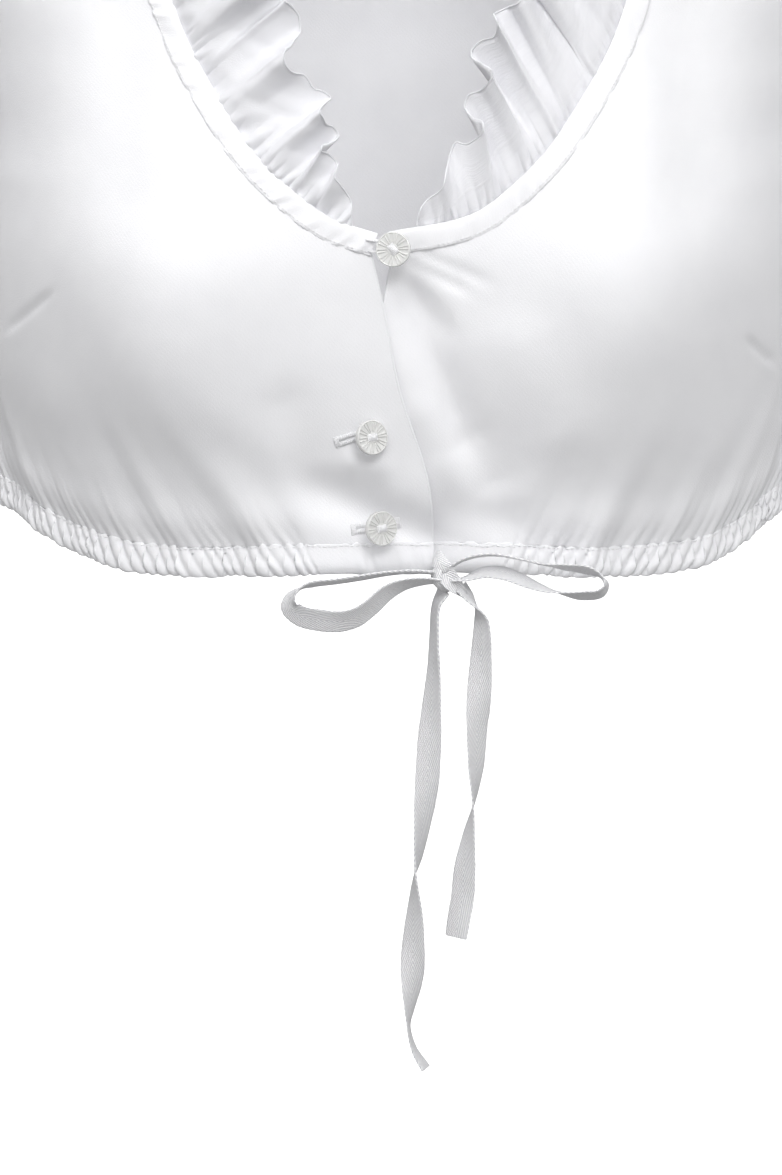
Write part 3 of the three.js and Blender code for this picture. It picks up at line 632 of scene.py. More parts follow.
def from_axis(points):
    """Roughly outwards for a panel: away from the body's upright axis."""
    return points * (1, 1, 0)


def cut_front(side):
    grid, _, rho, _ = cut().front[side]
    name = "front_right" if side < 0 else "front_left"
    grain = body_grain(FRONT_DEPTH)
    piece = cloth_sheet(name + "_cloth", [grid], finish("satin"), size("front_thickness"), from_axis, grain)
    dress(piece, "cloth", name)
    rows = np.flatnonzero(rho <= CLOSING_STEPS)
    edge, inside = grid[rows, 0], grid[rows, 3]
    over = outward(grid, (0, -1, 0))[rows, 0]
    inward = unit(inside - edge)
    angles = np.linspace(0, 2 * np.pi, 12, endpoint=False)

    radius = 0.52

    def outline(i):
        ring = radius * np.outer(np.cos(angles), inward[i]) + radius * np.outer(np.sin(angles), over[i])
        return edge[i] + 0.3 * inward[i] - 0.4 * over[i] + ring

    fold = dress(sweep(name + "_folded_edge", len(rows), outline, finish("binding")), "cloth")
    return declare_cloth(piece, (0.25, 0.41))


def cut_back():
    grids = [cut().back[1][0], cut().back[-1][0]]
    grain = body_grain(BACK_DEPTH)
    piece = cloth_sheet("back_cloth", grids, finish("satin"), size("cloth_thickness"), from_axis, grain)
    dress(piece, "cloth", "back")
    return declare_cloth(piece, (0.43, 0.42))


def sleeve_grid(side):
    """A plain set-in sleeve, as rings from the armhole to the cuff, each with one corner twice."""
    fore_grid, _, fore_rho, _ = cut().front[side]
    aft_grid, _, aft_rho, _ = cut().back[side]
    fore_rows = np.flatnonzero(fore_rho >= SIDE_STEPS)
    aft_rows = np.flatnonzero(aft_rho >= SIDE_STEPS)
    turn_fore = np.pi * (fore_rho[fore_rows] - SIDE_STEPS) / HOLE_STEPS
    turn_aft = np.pi * (2 - (aft_rho[aft_rows] - SIDE_STEPS) / HOLE_STEPS)
    fore, aft = fore_grid[fore_rows, -1], aft_grid[aft_rows, -1]
    turn = np.concatenate([turn_fore, turn_aft[::-1]])
    at = np.concatenate([fore, aft[::-1]])
    even = np.linspace(0, 2 * np.pi, 181)
    order = np.argsort(turn, kind="stable")
    at = read_along(even, turn[order], at[order])
    at[-1] = at[0]
    tangent = unit(np.roll(at[:-1], -1, 0) - np.roll(at[:-1], 1, 0))
    tangent = np.concatenate([tangent, tangent[:1]])
    body = unit(np.stack([at[:, 0] / WIDEST[0] ** 2, at[:, 1] / WIDEST[1] ** 2, 0 * at[:, 0] + 1e-4], -1))
    away = unit(np.cross(tangent, body))
    away *= np.sign((away * (side, 0, 0)).sum(-1).mean())
    start = at - away * 0.4 - body * 0.5
    up = np.array([side * math.cos(CUFF["lean"]), 0, math.sin(CUFF["lean"])])
    out = np.array([side * math.cos(CUFF["fall"]), 0, -math.sin(CUFF["fall"])])
    centre = np.array([side * CUFF["x"], 0, CUFF["height"]])
    radius = CUFF["radius"]
    end = centre - up * (radius * np.cos(even))[:, None] - np.outer(np.sin(even), (0, radius, 0))
    bend = start + out * (np.linalg.norm(end - start, axis=1) * 0.45)[:, None]
    t = np.linspace(0, 1, 46)[:, None, None]
    grid = start * (1 - t) ** 2 + bend * 2 * t * (1 - t) + end * t**2
    spread = np.sin(np.pi * t[..., 0])
    soft = 1.5 * waver(even * 9 + 1.2 * t[..., 0], 61 + side, 3.2) * spread
    soft[:, -1] = soft[:, 0]
    centre_line = grid[:, :-1].mean(1, keepdims=True)
    return grid + unit(grid - centre_line) * soft[..., None]


def set_sleeve(side):
    grid = sleeve_grid(side)
    centre = grid[:, :-1].mean((0, 1))

    def facing(points):
        axis = unit(np.array([side * 1.0, 0, -0.6]))
        spoke = points - centre
        return spoke - np.outer(spoke @ axis, axis)

    name = "sleeve_right" if side < 0 else "sleeve_left"
    piece = cloth_sheet(name + "_cloth", [grid], finish("satin"), size("cloth_thickness"), facing)
    dress(piece, "cloth", name)
    return declare_cloth(piece, (0.42, 0.15))


# ---------- neck binding and ruffle ----------
BAND_SECTION = [
    (-0.9, -0.2), (-0.85, 0.25), (-0.4, 0.5), (0.3, 0.52), (1.3, 0.62), (2.6, 0.75), (4.2, 0.8),
    (5.8, 0.72), (6.8, 0.45), (7.2, -0.1), (7.0, -0.9), (5.0, -1.3), (2.2, -1.3), (0.2, -1.3),
    (-0.7, -1.0),
]


def bind_neck():
    """The folded band over the panel's edge, with its row of edge stitching pulled into little scallops."""
    rail = cut().neck
    s = np.arange(0, rail.length, 0.4)
    at, normal, away, _ = rail.sample(s)
    scallop = 0.22 * np.abs(np.sin(np.pi * s / 1.6)) - 0.1
    end = smoothstep(np.minimum(s, rail.length - s), -0.5, 3)
    puffs = [
        0.42 * waver(s + 0.7 * out, 71, 2.4) * math.exp(-((out / 3.6) ** 2))
        + 0.34 * waver(s + 0.9 * out, 72, 5.0)
        for out, _ in BAND_SECTION
    ]

    def outline(i):
        points = []
        for (out, proud), puff in zip(BAND_SECTION, puffs):
            on_edge = math.exp(-((out + 0.7) ** 2))
            lift = proud + (puff[i] if proud > 0 else 0)
            shifted = at[i] + away[i] * (out - on_edge * scallop[i])
            points.append(shifted + normal[i] * lift * mix(0.75, 1, end[i]))
        return np.array(points)

    piece = sweep("neck_binding_cloth", len(s), outline, finish("binding"))
    dress(piece, "trim", "neck_binding")
    return declare_cloth(piece, (0.94, 0.0105))


# The ruffle's free edge near the closing, from the V end up: length along the neckline, reach from the
# neckline, and depth, + where it swings out to the front and - where it loops back.
FRILL_EDGE = {
    -1: [
        (9.2, 6.4, 0), (11.3, 10.9, -0.5), (13.3, 14.8, -2), (17.4, 17.1, -1), (22.6, 18.7, 1),
        (25.7, 19.5, 2), (26.7, 21.8, 1), (27.7, 23.4, -2), (31.8, 24.2, -1), (34.9, 24.1, 0.5),
        (37, 23.4, 2.5), (38, 25, 2), (36, 27.3, 0), (35, 30.4, -3), (36, 31.2, -3.5), (40, 32, -2),
        (43.1, 31.2, 0), (46.2, 32, 2.5), (49.3, 32.7, 3.5), (50.3, 34.3, 2), (50.3, 36.6, -1),
        (50.3, 38.2, -3.5), (53.4, 38.2, -3.5), (56.5, 37.4, -3), (59.6, 35.9, -2.5),
        (66.8, 35.9, -1), (69.8, 33.5, 1), (72.9, 32.7, 3), (76, 33.5, 4.5), (78, 35.1, 4),
        (78, 37.4, 1), (79, 39.8, -2.5), (80, 42.9, -4), (82, 44.4, -4.5), (85.2, 46, -4),
        (88.3, 46, -3), (91.4, 45.2, -1.5),
    ],
    1: [
        (9.2, 6.4, 0), (10.3, 9.4, 0), (12.3, 13.2, -0.5), (15.4, 15.6, -1.5), (19.5, 17.1, 0),
        (22.6, 18.7, 1.5), (24.7, 21, 2), (26.7, 23.4, 1), (28.7, 25, -1), (34.9, 28.8, -2.5),
        (42.1, 30.4, -2), (45.2, 28.1, -1), (50.3, 27.3, 1), (54.4, 27.3, 3), (57.5, 28.8, 4),
        (58.5, 30.4, 3), (56.5, 32.7, 1), (56.5, 35.1, -2), (57.5, 37.4, -4), (61.6, 39, -4),
        (65.7, 39, -3), (69.8, 37.4, -1.5), (73.9, 36.6, 1.5), (78, 36.6, 3.5), (81.1, 38.2, 4.5),
        (81.1, 40.5, 3.5), (81.1, 42.9, 1), (81.1, 45.5, -3), (83.2, 46.8, -4.5), (85.2, 46.8, -4),
        (88.3, 46, -2.5), (92.4, 42.9, 1), (95.5, 43.7, 4), (97.5, 45.2, 5), (98.6, 46.5, 3),
        (99.6, 47, -1),
    ],
}
FRILL_ROOT_END = {-1: 90.0, 1: 78.0}  # where along the neckline the last of those rows is gathered in
# One further wave of the edge: share of its length, reach and depth from its own middle.
FRILL_WAVE = [
    (0.0, 0.9, -3.9), (0.16, 1.3, -3.8), (0.32, 0.6, -1.6), (0.46, -0.6, 1.6),
    (0.6, -1.5, 3.9), (0.74, -1.3, 3.7), (0.86, -0.3, 1.0), (0.94, 0.4, -1.9),
]
FRILL_START = 9.0  # the ruffle stops short of the closing by this much
FRILL_ROOT = 5.5  # its root lies this far inside the neckline's edge, under the binding


def frill_edge(rail, waves):
    """Rows of the whole free edge: length along the neckline of root and edge, reach and depth."""
    rng = np.random.default_rng(87)
    ends = {}
    for side in (-1, 1):
        rows = np.array(FRILL_EDGE[side])
        gone = steps_along(rows)
        root = mix(FRILL_START, FRILL_ROOT_END[side], gone / gone[-1])
        ends[side] = np.column_stack([root, rows])
    first, last = ends[-1][-1], ends[1][-1]
    root_from, root_to = first[0] + 2, rail.length - last[0] - 2
    edge_from, edge_to = first[1] + 2, rail.length - last[1] - 2
    middle = []
    shape = np.array(FRILL_WAVE)
    for k in range(waves):
        size_of = rng.uniform(0.75, 1.25, 2)
        place = (k + shape[:, 0]) / waves
        shift = rng.uniform(-0.12, 0.12) / waves
        narrow = 44.5 - 7.0 * np.sin(np.pi * place) ** 0.5
        middle.append(
            np.column_stack(
                [
                    mix(root_from, root_to, place),
                    mix(edge_from, edge_to, place + shift),
                    narrow + shape[:, 1] * size_of[0],
                    shape[:, 2] * size_of[1],
                ]
            )
        )
    left = ends[1][::-1] * (-1, -1, 1, 1) + (rail.length, rail.length, 0, 0)
    return np.concatenate([ends[-1], *middle, left])


def gather_ruffle():
    """The ruffle: its root gathered in under the binding, its free edge looping front and back."""
    rail = cut().neck
    rows = frill_edge(rail, bpy.context.scene.blouse_sizes.ruffle_waves)
    line = smooth_line(rows, 12)
    reach = steps_along(line[:, 1:])
    near = np.minimum(np.clip(line[:, 0], 0, rail.length), rail.length - line[:, 0])
    density = np.where(near < 100, 1.9, 1.0)
    place = np.concatenate([[0], np.cumsum(np.diff(reach) * density[1:])])
    even = np.linspace(0, place[-1], 1520)
    root, edge, far, depth = (np.interp(even, place, line[:, k]) for k in range(4))
    t = np.linspace(0, 1, 30)[:, None] ** 1.35
    s = np.clip(mix(root, edge, t**1.1), 0, rail.length)
    r = mix(FRILL_ROOT, far, t)
    shape = s.shape
    at, normal, away, _ = (v.reshape(*shape, 3) for v in rail.sample(s.ravel()))
    lean = np.radians(mix(15.0, 4.0, smoothstep(root, 0.35 * rail.length, 0.6 * rail.length)))
    puckers = Gathers(0, rail.length, 4.2, 86, 3.6, 0.0)
    drawn = 2.0 * puckers.lift(np.broadcast_to(root, shape), r - FRILL_ROOT)
    drawn = drawn + 1.8 * waver(root + 0.25 * r, 88, 4.4) * np.exp(-(((r - FRILL_ROOT) / 9) ** 1.5))
    drawn = drawn * smoothstep(r, FRILL_ROOT, FRILL_ROOT + 2)
    soft = 0.5 * waver(s + 2 * r, 89, 8) * t
    tucked = 1.9 * np.exp(-(((r - FRILL_ROOT) / 6) ** 2))
    proud = r * np.sin(lean) - 0.5 - tucked + drawn + soft
    grid = at + away * (r * np.cos(lean))[..., None] + normal * proud[..., None]
    leaned = normal * np.cos(lean)[:, None] - away * np.sin(lean)[:, None]
    in_front = 1 - smoothstep(np.minimum(s, rail.length - s), 100, 150)
    swing = unit(mix(leaned, np.array([0.0, -1, 0]), in_front[..., None]))
    deeper = np.where(root < rail.length / 2, 1.6, 1.15)
    grid = grid + swing * (deeper * depth * t**1.15)[..., None]
    piece = cloth_sheet("neck_ruffle_cloth", [grid], finish("frill"), size("ruffle_thickness"), from_axis)
    dress(piece, "cloth", "neck_ruffle")
    rim = grid[-1][::2]
    ahead = unit(np.gradient(rim, axis=0))
    beside = unit(np.cross(ahead, unit(rim - grid[-3][::2])))
    over = np.cross(beside, ahead)
    angles = np.linspace(0, 2 * np.pi, 7, endpoint=False)

    def outline(i):
        return rim[i] + 0.3 * (np.outer(np.cos(angles), beside[i]) + np.outer(np.sin(angles), over[i]))

    hem = dress(sweep("neck_ruffle_hem", len(rim), outline, finish("frill")), "cloth")
    return declare_cloth(piece, (1.6, 0.047))


# ---------- hem casing ----------
# Round the casing, from its top edge down the outside and up the inside: out, share of the puffs, down.
CASING_SECTION = [
    (-0.6, 0.1, -0.1), (0.0, 0.1, -0.9), (0.26, 0.12, -0.85), (0.36, 0.2, -0.1), (0.55, 0.5, 1.5),
    (0.95, 0.9, 4.2), (1.0, 1.0, 6.6), (0.4, 0.75, 8.8), (-0.4, 0.3, 9.8), (-1.2, 0.0, 9.4),
    (-1.6, -0.4, 6.5), (-1.5, -0.4, 3.0), (-1.0, 0.0, 0.6),
]


def sew_casing(node, rail, gathers):
    """The hem turned up into a channel and drawn in, so it puffs out between its gathers."""
    s = np.arange(0, rail.length + 0.3, 0.45)
    s[-1] = rail.length
    at, normal, away, _ = rail.sample(s)
    section_rows = smooth_line(CASING_SECTION, 3)
    lifts = [
        gathers(s, -1.1 * down) * 1.8 + 0.15 * waver(s + 0.3 * down, 92, 5.5) for _, _, down in section_rows
    ]
    level_with_seam = GATHER_DEPTH * gathers(s, 0.0)
    sag = 0.35 * waver(s, 91, 7.0)
    wobble = 0.35 * waver(s, 93, 1.9)
    gap = np.linalg.norm(at[:, :2] - at[:1, :2], axis=1)
    ripple = 0.5 * smoothstep(gap, 1, 5) * (1 - smoothstep(gap, 22, 30)) if node == "casing_right" else 0 * s
    lifts = [
        lift + ripple * waver(s + 0.25 * down, 94, 2.1) * math.sin(math.pi * np.clip(down / 10, 0, 1))
        for lift, (_, _, down) in zip(lifts, section_rows)
    ]

    def outline(i):
        points = []
        for lift, (out, swing, down) in zip(lifts, section_rows):
            low = (sag[i] + 0.3 * lift[i]) * (down > 8)
            low = low + (1.6 * wobble[i] - 0.4 * lift[i]) * (-1 < down < 1)
            out = out - level_with_seam[i] * smoothstep(down, -0.5, 4.0)
            points.append(at[i] + normal[i] * (out + swing * lift[i]) + away[i] * (down + low))
        return np.array(points)

    piece = sweep(node + "_cloth", len(s), outline, finish("satin"))
    dress(piece, "cloth", node)
    return declare_cloth(piece, (rail.length * 1.15 / 1000, 0.014))


def draw_in_hem():
    for side, node in ((-1, "casing_right"), (1, "casing_left")):
        sew_casing(node, cut().hem["front", side], cut().front[side][1].lift)
    left, right = cut().back[1][1], cut().back[-1][1]
    middle = steps_along(cut().back[1][0][0])[-1]

    def back_lift(s, up):
        return np.where(s < middle, left.lift(middle - s, up), right.lift(s - middle, up))

    sew_casing("casing_back", cut().hem["back", 0], back_lift)


# ---------- drawstring tape ----------
# Routes outwards from the knot: x, y, z in millimetres from the front hem, and the angle by which the
# flat face looks away from the front, about the tape's own line.
ROUTES = {
    "tape_loop_right": [
        (12.2, -110.5, 1.5, 100), (5, -111.5, 1.9, 102), (-3, -112.5, 1.4, 104),
        (-12, -113.5, 0.1, 107), (-21, -114, -1.2, 107), (-28.5, -114, -2.1, 108),
        (-33, -114, -3.6, 96), (-36, -114, -6.6, 68), (-36.2, -114, -10, 38),
        (-32.5, -114.5, -12.9, 26), (-26, -115, -14.2, 22), (-19.5, -115, -14.6, 26),
        (-14, -115, -13.2, 34), (-9, -114.5, -9.8, 42), (-3.5, -113.5, -5, 46),
        (2.5, -112.5, -2.2, 58), (9.5, -111.4, -1.2, 68), (14.8, -110.6, -1.4, 76),
    ],
    "tape_loop_left": [
        (19, -110, 3.8, -100), (22.5, -110.8, 5.8, -100), (27, -111.8, 7.3, -100),
        (33, -112.5, 7.9, -98), (41, -112.5, 6.7, -94), (49, -112, 4.7, -96),
        (57, -111.5, 3.5, -108), (64.5, -111, 2.4, -114), (69.3, -111, 0.4, -100),
        (71.2, -111, -2.6, -78), (69.4, -111, -5.4, -64), (64, -111, -6.2, -63),
        (57, -111.5, -5.4, -78), (50, -112, -3.6, -98), (43, -112.5, -0.8, -112),
        (36.5, -112.5, 1.6, -114), (30, -112.2, 2.0, -108), (24.5, -111.4, 0.2, -96),
        (19.5, -110.4, -1.2, -80),
    ],
    "tape_tail_right": [
        (16.2, -109, -4.6, 62), (13.6, -108.5, -10, 74), (12.9, -108, -21.5, 71),
        (12.8, -107.5, -32, 61), (11.9, -107, -47, 38), (11.1, -107, -59, 10),
        (10.3, -107, -72, -12), (8.8, -107, -85, -44), (7.2, -107, -98, -72),
        (6.3, -107, -105, -95), (6.1, -107, -117, -129), (5.6, -107, -130, -162),
        (5.3, -107, -142, -212), (4.6, -107, -151, -246), (4.3, -107, -158, -264),
        (6.2, -107.5, -165, -262), (10.2, -108.5, -171.4, -255),
    ],
    "tape_tail_left": [
        (22, -110.5, -3.1, 118), (25, -110.5, -7, 108), (27.4, -110.5, -10.6, 84),
        (28.9, -110.5, -14.5, 58), (29.2, -110.5, -20, 44), (28.9, -110, -27, 34),
        (28.1, -110, -41, 2), (27.4, -109.5, -52, -32), (27.1, -109.5, -65, -48),
        (26.4, -109.5, -78, -84), (24.6, -109.5, -90, -118), (23.2, -109.5, -102, -150),
        (22.6, -109.5, -111, -160), (21.4, -109.8, -118, -156), (20.3, -110.2, -125, -150),
    ],
    "tape_lead": [
        (13.2, -104, 6.4, 0), (13.6, -108.4, 6.2, 0), (14.3, -111.2, 5.4, 0),
        (15.6, -112.4, 4.0, 0), (17.0, -112, 2.6, 0),
    ],
}


TAPE_SPACING = 0.3  # between the rings of a length of tape


def tape_frames(route):
    """Centres, faces and sideways directions along a route, evenly spaced."""
    rows = np.array(route, float)
    line = smooth_line(rows[:, :3], 40)
    turns = smooth_line(np.stack([np.arange(len(rows)), rows[:, 3]], -1), 40)[:, 1]
    reach = steps_along(line)
    s = np.linspace(0, reach[-1], max(int(reach[-1] / TAPE_SPACING), 8))
    at = read_along(s, reach, line)
    turn = np.radians(np.interp(s, reach, turns))[:, None]
    tangent = unit(np.gradient(at, axis=0))
    to_front = unit(np.array([0.0, -1, 0]) + tangent * tangent[:, 1:2])
    face = to_front * np.cos(turn) + np.cross(tangent, to_front) * np.sin(turn)
    return s, at, face, np.cross(tangent, face)


# Across the tape, round at its selvedges: share of its half width, and of its half thickness there.
TAPE_ACROSS = np.array([-1, -0.93, -0.75, -0.5, -0.25, 0, 0.25, 0.5, 0.75, 0.93, 1])
TAPE_THROUGH = np.array([0.35, 0.9, 1, 1, 1, 0.85, 1, 1, 1, 0.9, 0.35])


def tape_outline(width, cup):
    """A tape's section, hollowed by its cup: across and proud, round its front and back."""
    shares = TAPE_ACROSS
    half = size("tape_thickness") / 2 * TAPE_THROUGH
    bend = cup * (shares**2 - 0.4)
    front = np.stack([shares * width / 2, half + bend], -1)
    back = np.stack([shares * width / 2, -half + bend], -1)[::-1]
    return np.concatenate([front, back])


def weave_tape(name, route, width, cup=0.25):
    """A length of tape along a route, with its middle line and its length."""
    s, at, face, across = tape_frames(route)
    outline = tape_outline(width, cup)
    jag = 1 + 0.022 * np.sin(2 * np.pi * s / 0.95) + 0.012 * waver(s, len(name), 2.0)
    curl = 1 + 0.5 * waver(s, 3 + len(name), 14)
    rings = (
        at[:, None]
        + across[:, None] * (outline[None, :, :1] * jag[:, None, None])
        + face[:, None] * (outline[None, :, 1:] * mix(1, curl, 0.5)[:, None, None])
    )
    around = np.concatenate([outline[:, 0], outline[:1, 0]])
    return tube(name, joined_round(rings), around, s, finish("tape")), at, s[-1]


def declare_tape(piece, node, at, length):
    """Puts a piece of tape on the frame in place of its CAD node and picks 36 points of its middle line,
    which go no further. length is not used.
    """
    dress(piece, "twill_tape", node)
    path = placed(at[np.linspace(0, len(at) - 1, 36).astype(int)])
    size("tape_width") / 1000


KNOT = {"x": 17.3, "y": -110.0, "z": -0.8, "length": 10.4, "depth": 6.8, "height": 7.2, "turn": 18.0}


def knot_place(x, y, z):
    """A place given about the knot's middle, in the knot's own slant."""
    turn = math.radians(KNOT["turn"])
    return (
        KNOT["x"] + x * math.cos(turn) + z * math.sin(turn),
        KNOT["y"] + y,
        KNOT["z"] - x * math.sin(turn) + z * math.cos(turn),
    )


# The tape's two turns over the knot's front, as x, y, z of the middle line and the width there.
KNOT_TURNS = {
    "low": [
        (14.8, -108.8, 3.2, 3.6), (13.6, -110.8, 3.0, 4.4), (13.1, -112.3, 1.4, 4.8),
        (13.4, -112.9, -0.8, 4.6), (14.6, -112.5, -2.8, 4.0), (16.2, -111.2, -4.2, 3.4),
        (17.4, -109.4, -4.6, 3.0),
    ],
    "high": [
        (15.6, -110.6, 2.9, 2.4), (16.2, -112.2, 2.0, 4.6), (17.4, -113.3, 0.3, 6.4),
        (19.0, -113.5, -1.6, 6.2), (20.8, -112.9, -3.5, 4.6), (22.4, -111.9, -5.3, 2.8),
        (23.4, -110.8, -6.8, 1.9),
    ],
}


def turn_of_knot(name, rows, cup):
    """One turn of the tape over the knot, its face outwards and its width drawn together at the ends."""
    rows = np.array(rows, float)
    line = smooth_line(rows, 16)
    at, width = line[:, :3], line[:, 3]
    tangent = unit(np.gradient(at, axis=0))
    spoke = unit(at - np.array([KNOT["x"], KNOT["y"] + 1.5, KNOT["z"]]))
    face = unit(spoke - tangent * (spoke * tangent).sum(-1, keepdims=True))
    across = np.cross(tangent, face)
    rings = []
    for i in range(len(at)):
        outline = tape_outline(width[i], cup)
        rings.append(at[i] + across[i] * outline[:, :1] + face[i] * outline[:, 1:])
    drawn_in = tape_outline(6.0, 0)[:, 0]
    around = np.concatenate([drawn_in, drawn_in[:1]])
    return tube(name, joined_round(np.array(rings)), around, steps_along(at), finish("tape"))


def tie_knot():
    """The knot: a rounded core with the tape's two turns over it."""
    core_rows = np.linspace(-1, 1, 26)
    angles = np.linspace(0, 2 * np.pi, 40, endpoint=False)

    def outline(i):
        x = core_rows[i] * KNOT["length"] * 0.42
        radius = math.sqrt(max(1 - core_rows[i] ** 2, 1e-4))
        deep, high = 0.38 * KNOT["depth"] * radius, 0.38 * KNOT["height"] * radius
        return np.array([knot_place(x, deep * math.cos(a), high * math.sin(a)) for a in angles])

    core = sweep("knot_core", len(core_rows), outline, finish("tape"))
    low = turn_of_knot("knot_low", KNOT_TURNS["low"], -0.9)
    high = turn_of_knot("knot_high", KNOT_TURNS["high"], 1.3)
    return dress(joined("tape_knot_cloth", [core, low, high]), "twill_tape", "tape_knot")


FAR_ENDS = {
    "tape_loop_right": "knot",
    "tape_loop_left": "knot",
    "tape_tail_right": "bare",
    "tape_tail_left": "bare",
}


def tie_drawstring():
    knot = tie_knot()
    lead, _, _ = weave_tape("tape_lead_cloth", ROUTES["tape_lead"], 0.62 * size("tape_width"), -0.9)
    dress(lead, "twill_tape", "tape_lead")
    for node, far_end in FAR_ENDS.items():
        piece, at, length = weave_tape(node + "_cloth", ROUTES[node], size("tape_width"))
        declare_tape(piece, node, at, length)


# ---------- buttons ----------
# Degrees: how far a button's face turns sideways and looks up, and how its bar of thread lies.
BUTTONS = {
    "button_top": {"tilt": -14.0, "lean": 6.0, "thread": -52.0},
    "button_middle": {"tilt": 30.0, "lean": 8.0, "thread": 5.0},
    "button_bottom": {"tilt": 30.0, "lean": 4.0, "thread": 8.0},
}


def select_faces(piece, test):
    """In edit mode, only the faces whose centre and normal pass the test."""
    bpy.ops.object.mode_set(mode="OBJECT")
    for polygon in piece.data.polygons:
        polygon.select = bool(test(polygon))
    for edge in piece.data.edges:
        edge.select = False
    for vertex in piece.data.vertices:
        vertex.select = False
    for polygon in piece.data.polygons:
        if polygon.select:
            for corner in polygon.vertices:
                piece.data.vertices[corner].select = True
    bpy.ops.object.mode_set(mode="EDIT")
    bpy.ops.mesh.select_mode(type="FACE")


MM = 0.001
BUTTON_SEGMENTS = 80
BUTTON_DEPTH = 1.7
# The face's steps from the rim in: how far in, how far up. Two for the rim, its step down, two for the
# dish, then the raised middle and its hollow.
BUTTON_STEPS = (
    (0.22, 0.16), (0.14, 0.0), (0.16, -0.22), (1.7, -0.12), (1.7, -0.12), (0.25, 0.22), (0.3, -0.1),
)
RAY_FROM, RAY_TO, RAY_PROUD = 1.95, 5.1, 0.34
RAY_PITCH = 36  # degrees from one pair of rays to the next


def is_on_ray(face):
    radius = math.hypot(face.center.x, face.center.y) / MM
    angle = math.degrees(math.atan2(face.center.y, face.center.x)) % RAY_PITCH
    return face.normal.z > 0.8 and RAY_FROM < radius < RAY_TO and (angle < 4.4 or 13.6 < angle < 17.9)


def press_button(name):
    """A pressed button: raised rim, a dished face with paired rays, and a raised middle."""
    deselect_all()
    bpy.ops.mesh.primitive_cylinder_add(
        vertices=BUTTON_SEGMENTS, radius=size("button_radius") * MM, depth=BUTTON_DEPTH * MM
    )
    piece = bpy.context.object
    piece.name = name + "_pearl"
    piece.data.name = piece.name
    bpy.ops.object.mode_set(mode="EDIT")
    select_faces(piece, lambda f: f.normal.z > 0.9 and f.center.z > 0 and len(f.vertices) == BUTTON_SEGMENTS)
    for inwards, upwards in BUTTON_STEPS:
        bpy.ops.mesh.inset(thickness=inwards * MM, depth=upwards * MM)
    select_faces(piece, is_on_ray)
    bpy.ops.mesh.extrude_region_shrink_fatten(TRANSFORM_OT_shrink_fatten={"value": RAY_PROUD * MM})
    bpy.ops.object.mode_set(mode="OBJECT")
    apply_modifier(
        piece, "BEVEL", width=0.09 * MM, segments=2, limit_method="ANGLE", angle_limit=math.radians(28)
    )
    piece.data.materials.append(finish("pearl"))
    choose(piece)
    bpy.ops.object.shade_smooth_by_angle(angle=math.radians(35))
    return piece


def sew_on_button(name):
    """A button and its bar of thread, modelled flat and then turned and moved to its place."""
    spec = BUTTONS[name]
    low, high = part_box(name)
    piece = press_button(name)
    bar = thread_bar(name, spec["thread"])
    tilt, lean = math.radians(spec["tilt"]), math.radians(90 - spec["lean"])
    for part in (piece, bar):
        part.data.transform(Matrix.Rotation(tilt, 4, "Z") @ Matrix.Rotation(lean, 4, "X"))
        part.data.transform(Matrix.Translation((low + high) / 2))
    dress(piece, "button", name)
    dress(bar, "trim")


def thread_strand(points, radius, name, sides=8):
    """A round strand of sewing thread through the points, in metres."""
    line = smooth_line(np.array(points, float), 6)
    tangent = unit(np.gradient(line, axis=0))
    helper = np.array([0.0, 0.0, 1.0]) if abs(tangent[:, 2]).mean() < 0.8 else np.array([1.0, 0.0, 0.0])
    beside = unit(np.cross(tangent, helper))
    over = np.cross(beside, tangent)
    angles = np.linspace(0, 2 * np.pi, sides, endpoint=False)
    taper = np.ones(len(line))
    taper[0] = taper[-1] = 0.6
    rings = joined_round(line[:, None] + radius * taper[:, None, None] * spokes(beside, over, angles))
    garment = rings * 1000 + (0, 0, SHOULDER_HEIGHT)
    return tube(name, garment, np.linspace(0, 1, sides + 1), steps_along(line) * 1000, finish("thread"))


def thread_bar(name, angle):
    """The strands that hold a button, from hole to hole over its middle."""
    strands = []
    turn = math.radians(angle)
    radius = size("thread_radius") * 1.5 / 1000
    for k, offset in enumerate((-0.95, -0.6, -0.2, 0.2, 0.6, 0.95)):
        crown = 1.25 - 0.6 * offset**2
        arch = [
            (-1.75, 0.2), (-1.6, 0.75), (-0.8, crown), (0, crown + 0.1), (0.8, crown), (1.6, 0.75),
            (1.75, 0.2),
        ]
        points = []
        for x, z in arch:
            px = x * math.cos(turn) - offset * math.sin(turn)
            py = x * math.sin(turn) + offset * math.cos(turn)
            points.append((px / 1000, py / 1000, z / 1000))
        strands.append(thread_strand(points, radius, f"{name}_strand{k}"))
    return joined(name + "_thread", strands)


# ---------- sewing ----------
STITCH_SINK = 0.1  # how far a stitch's ends go into the cloth


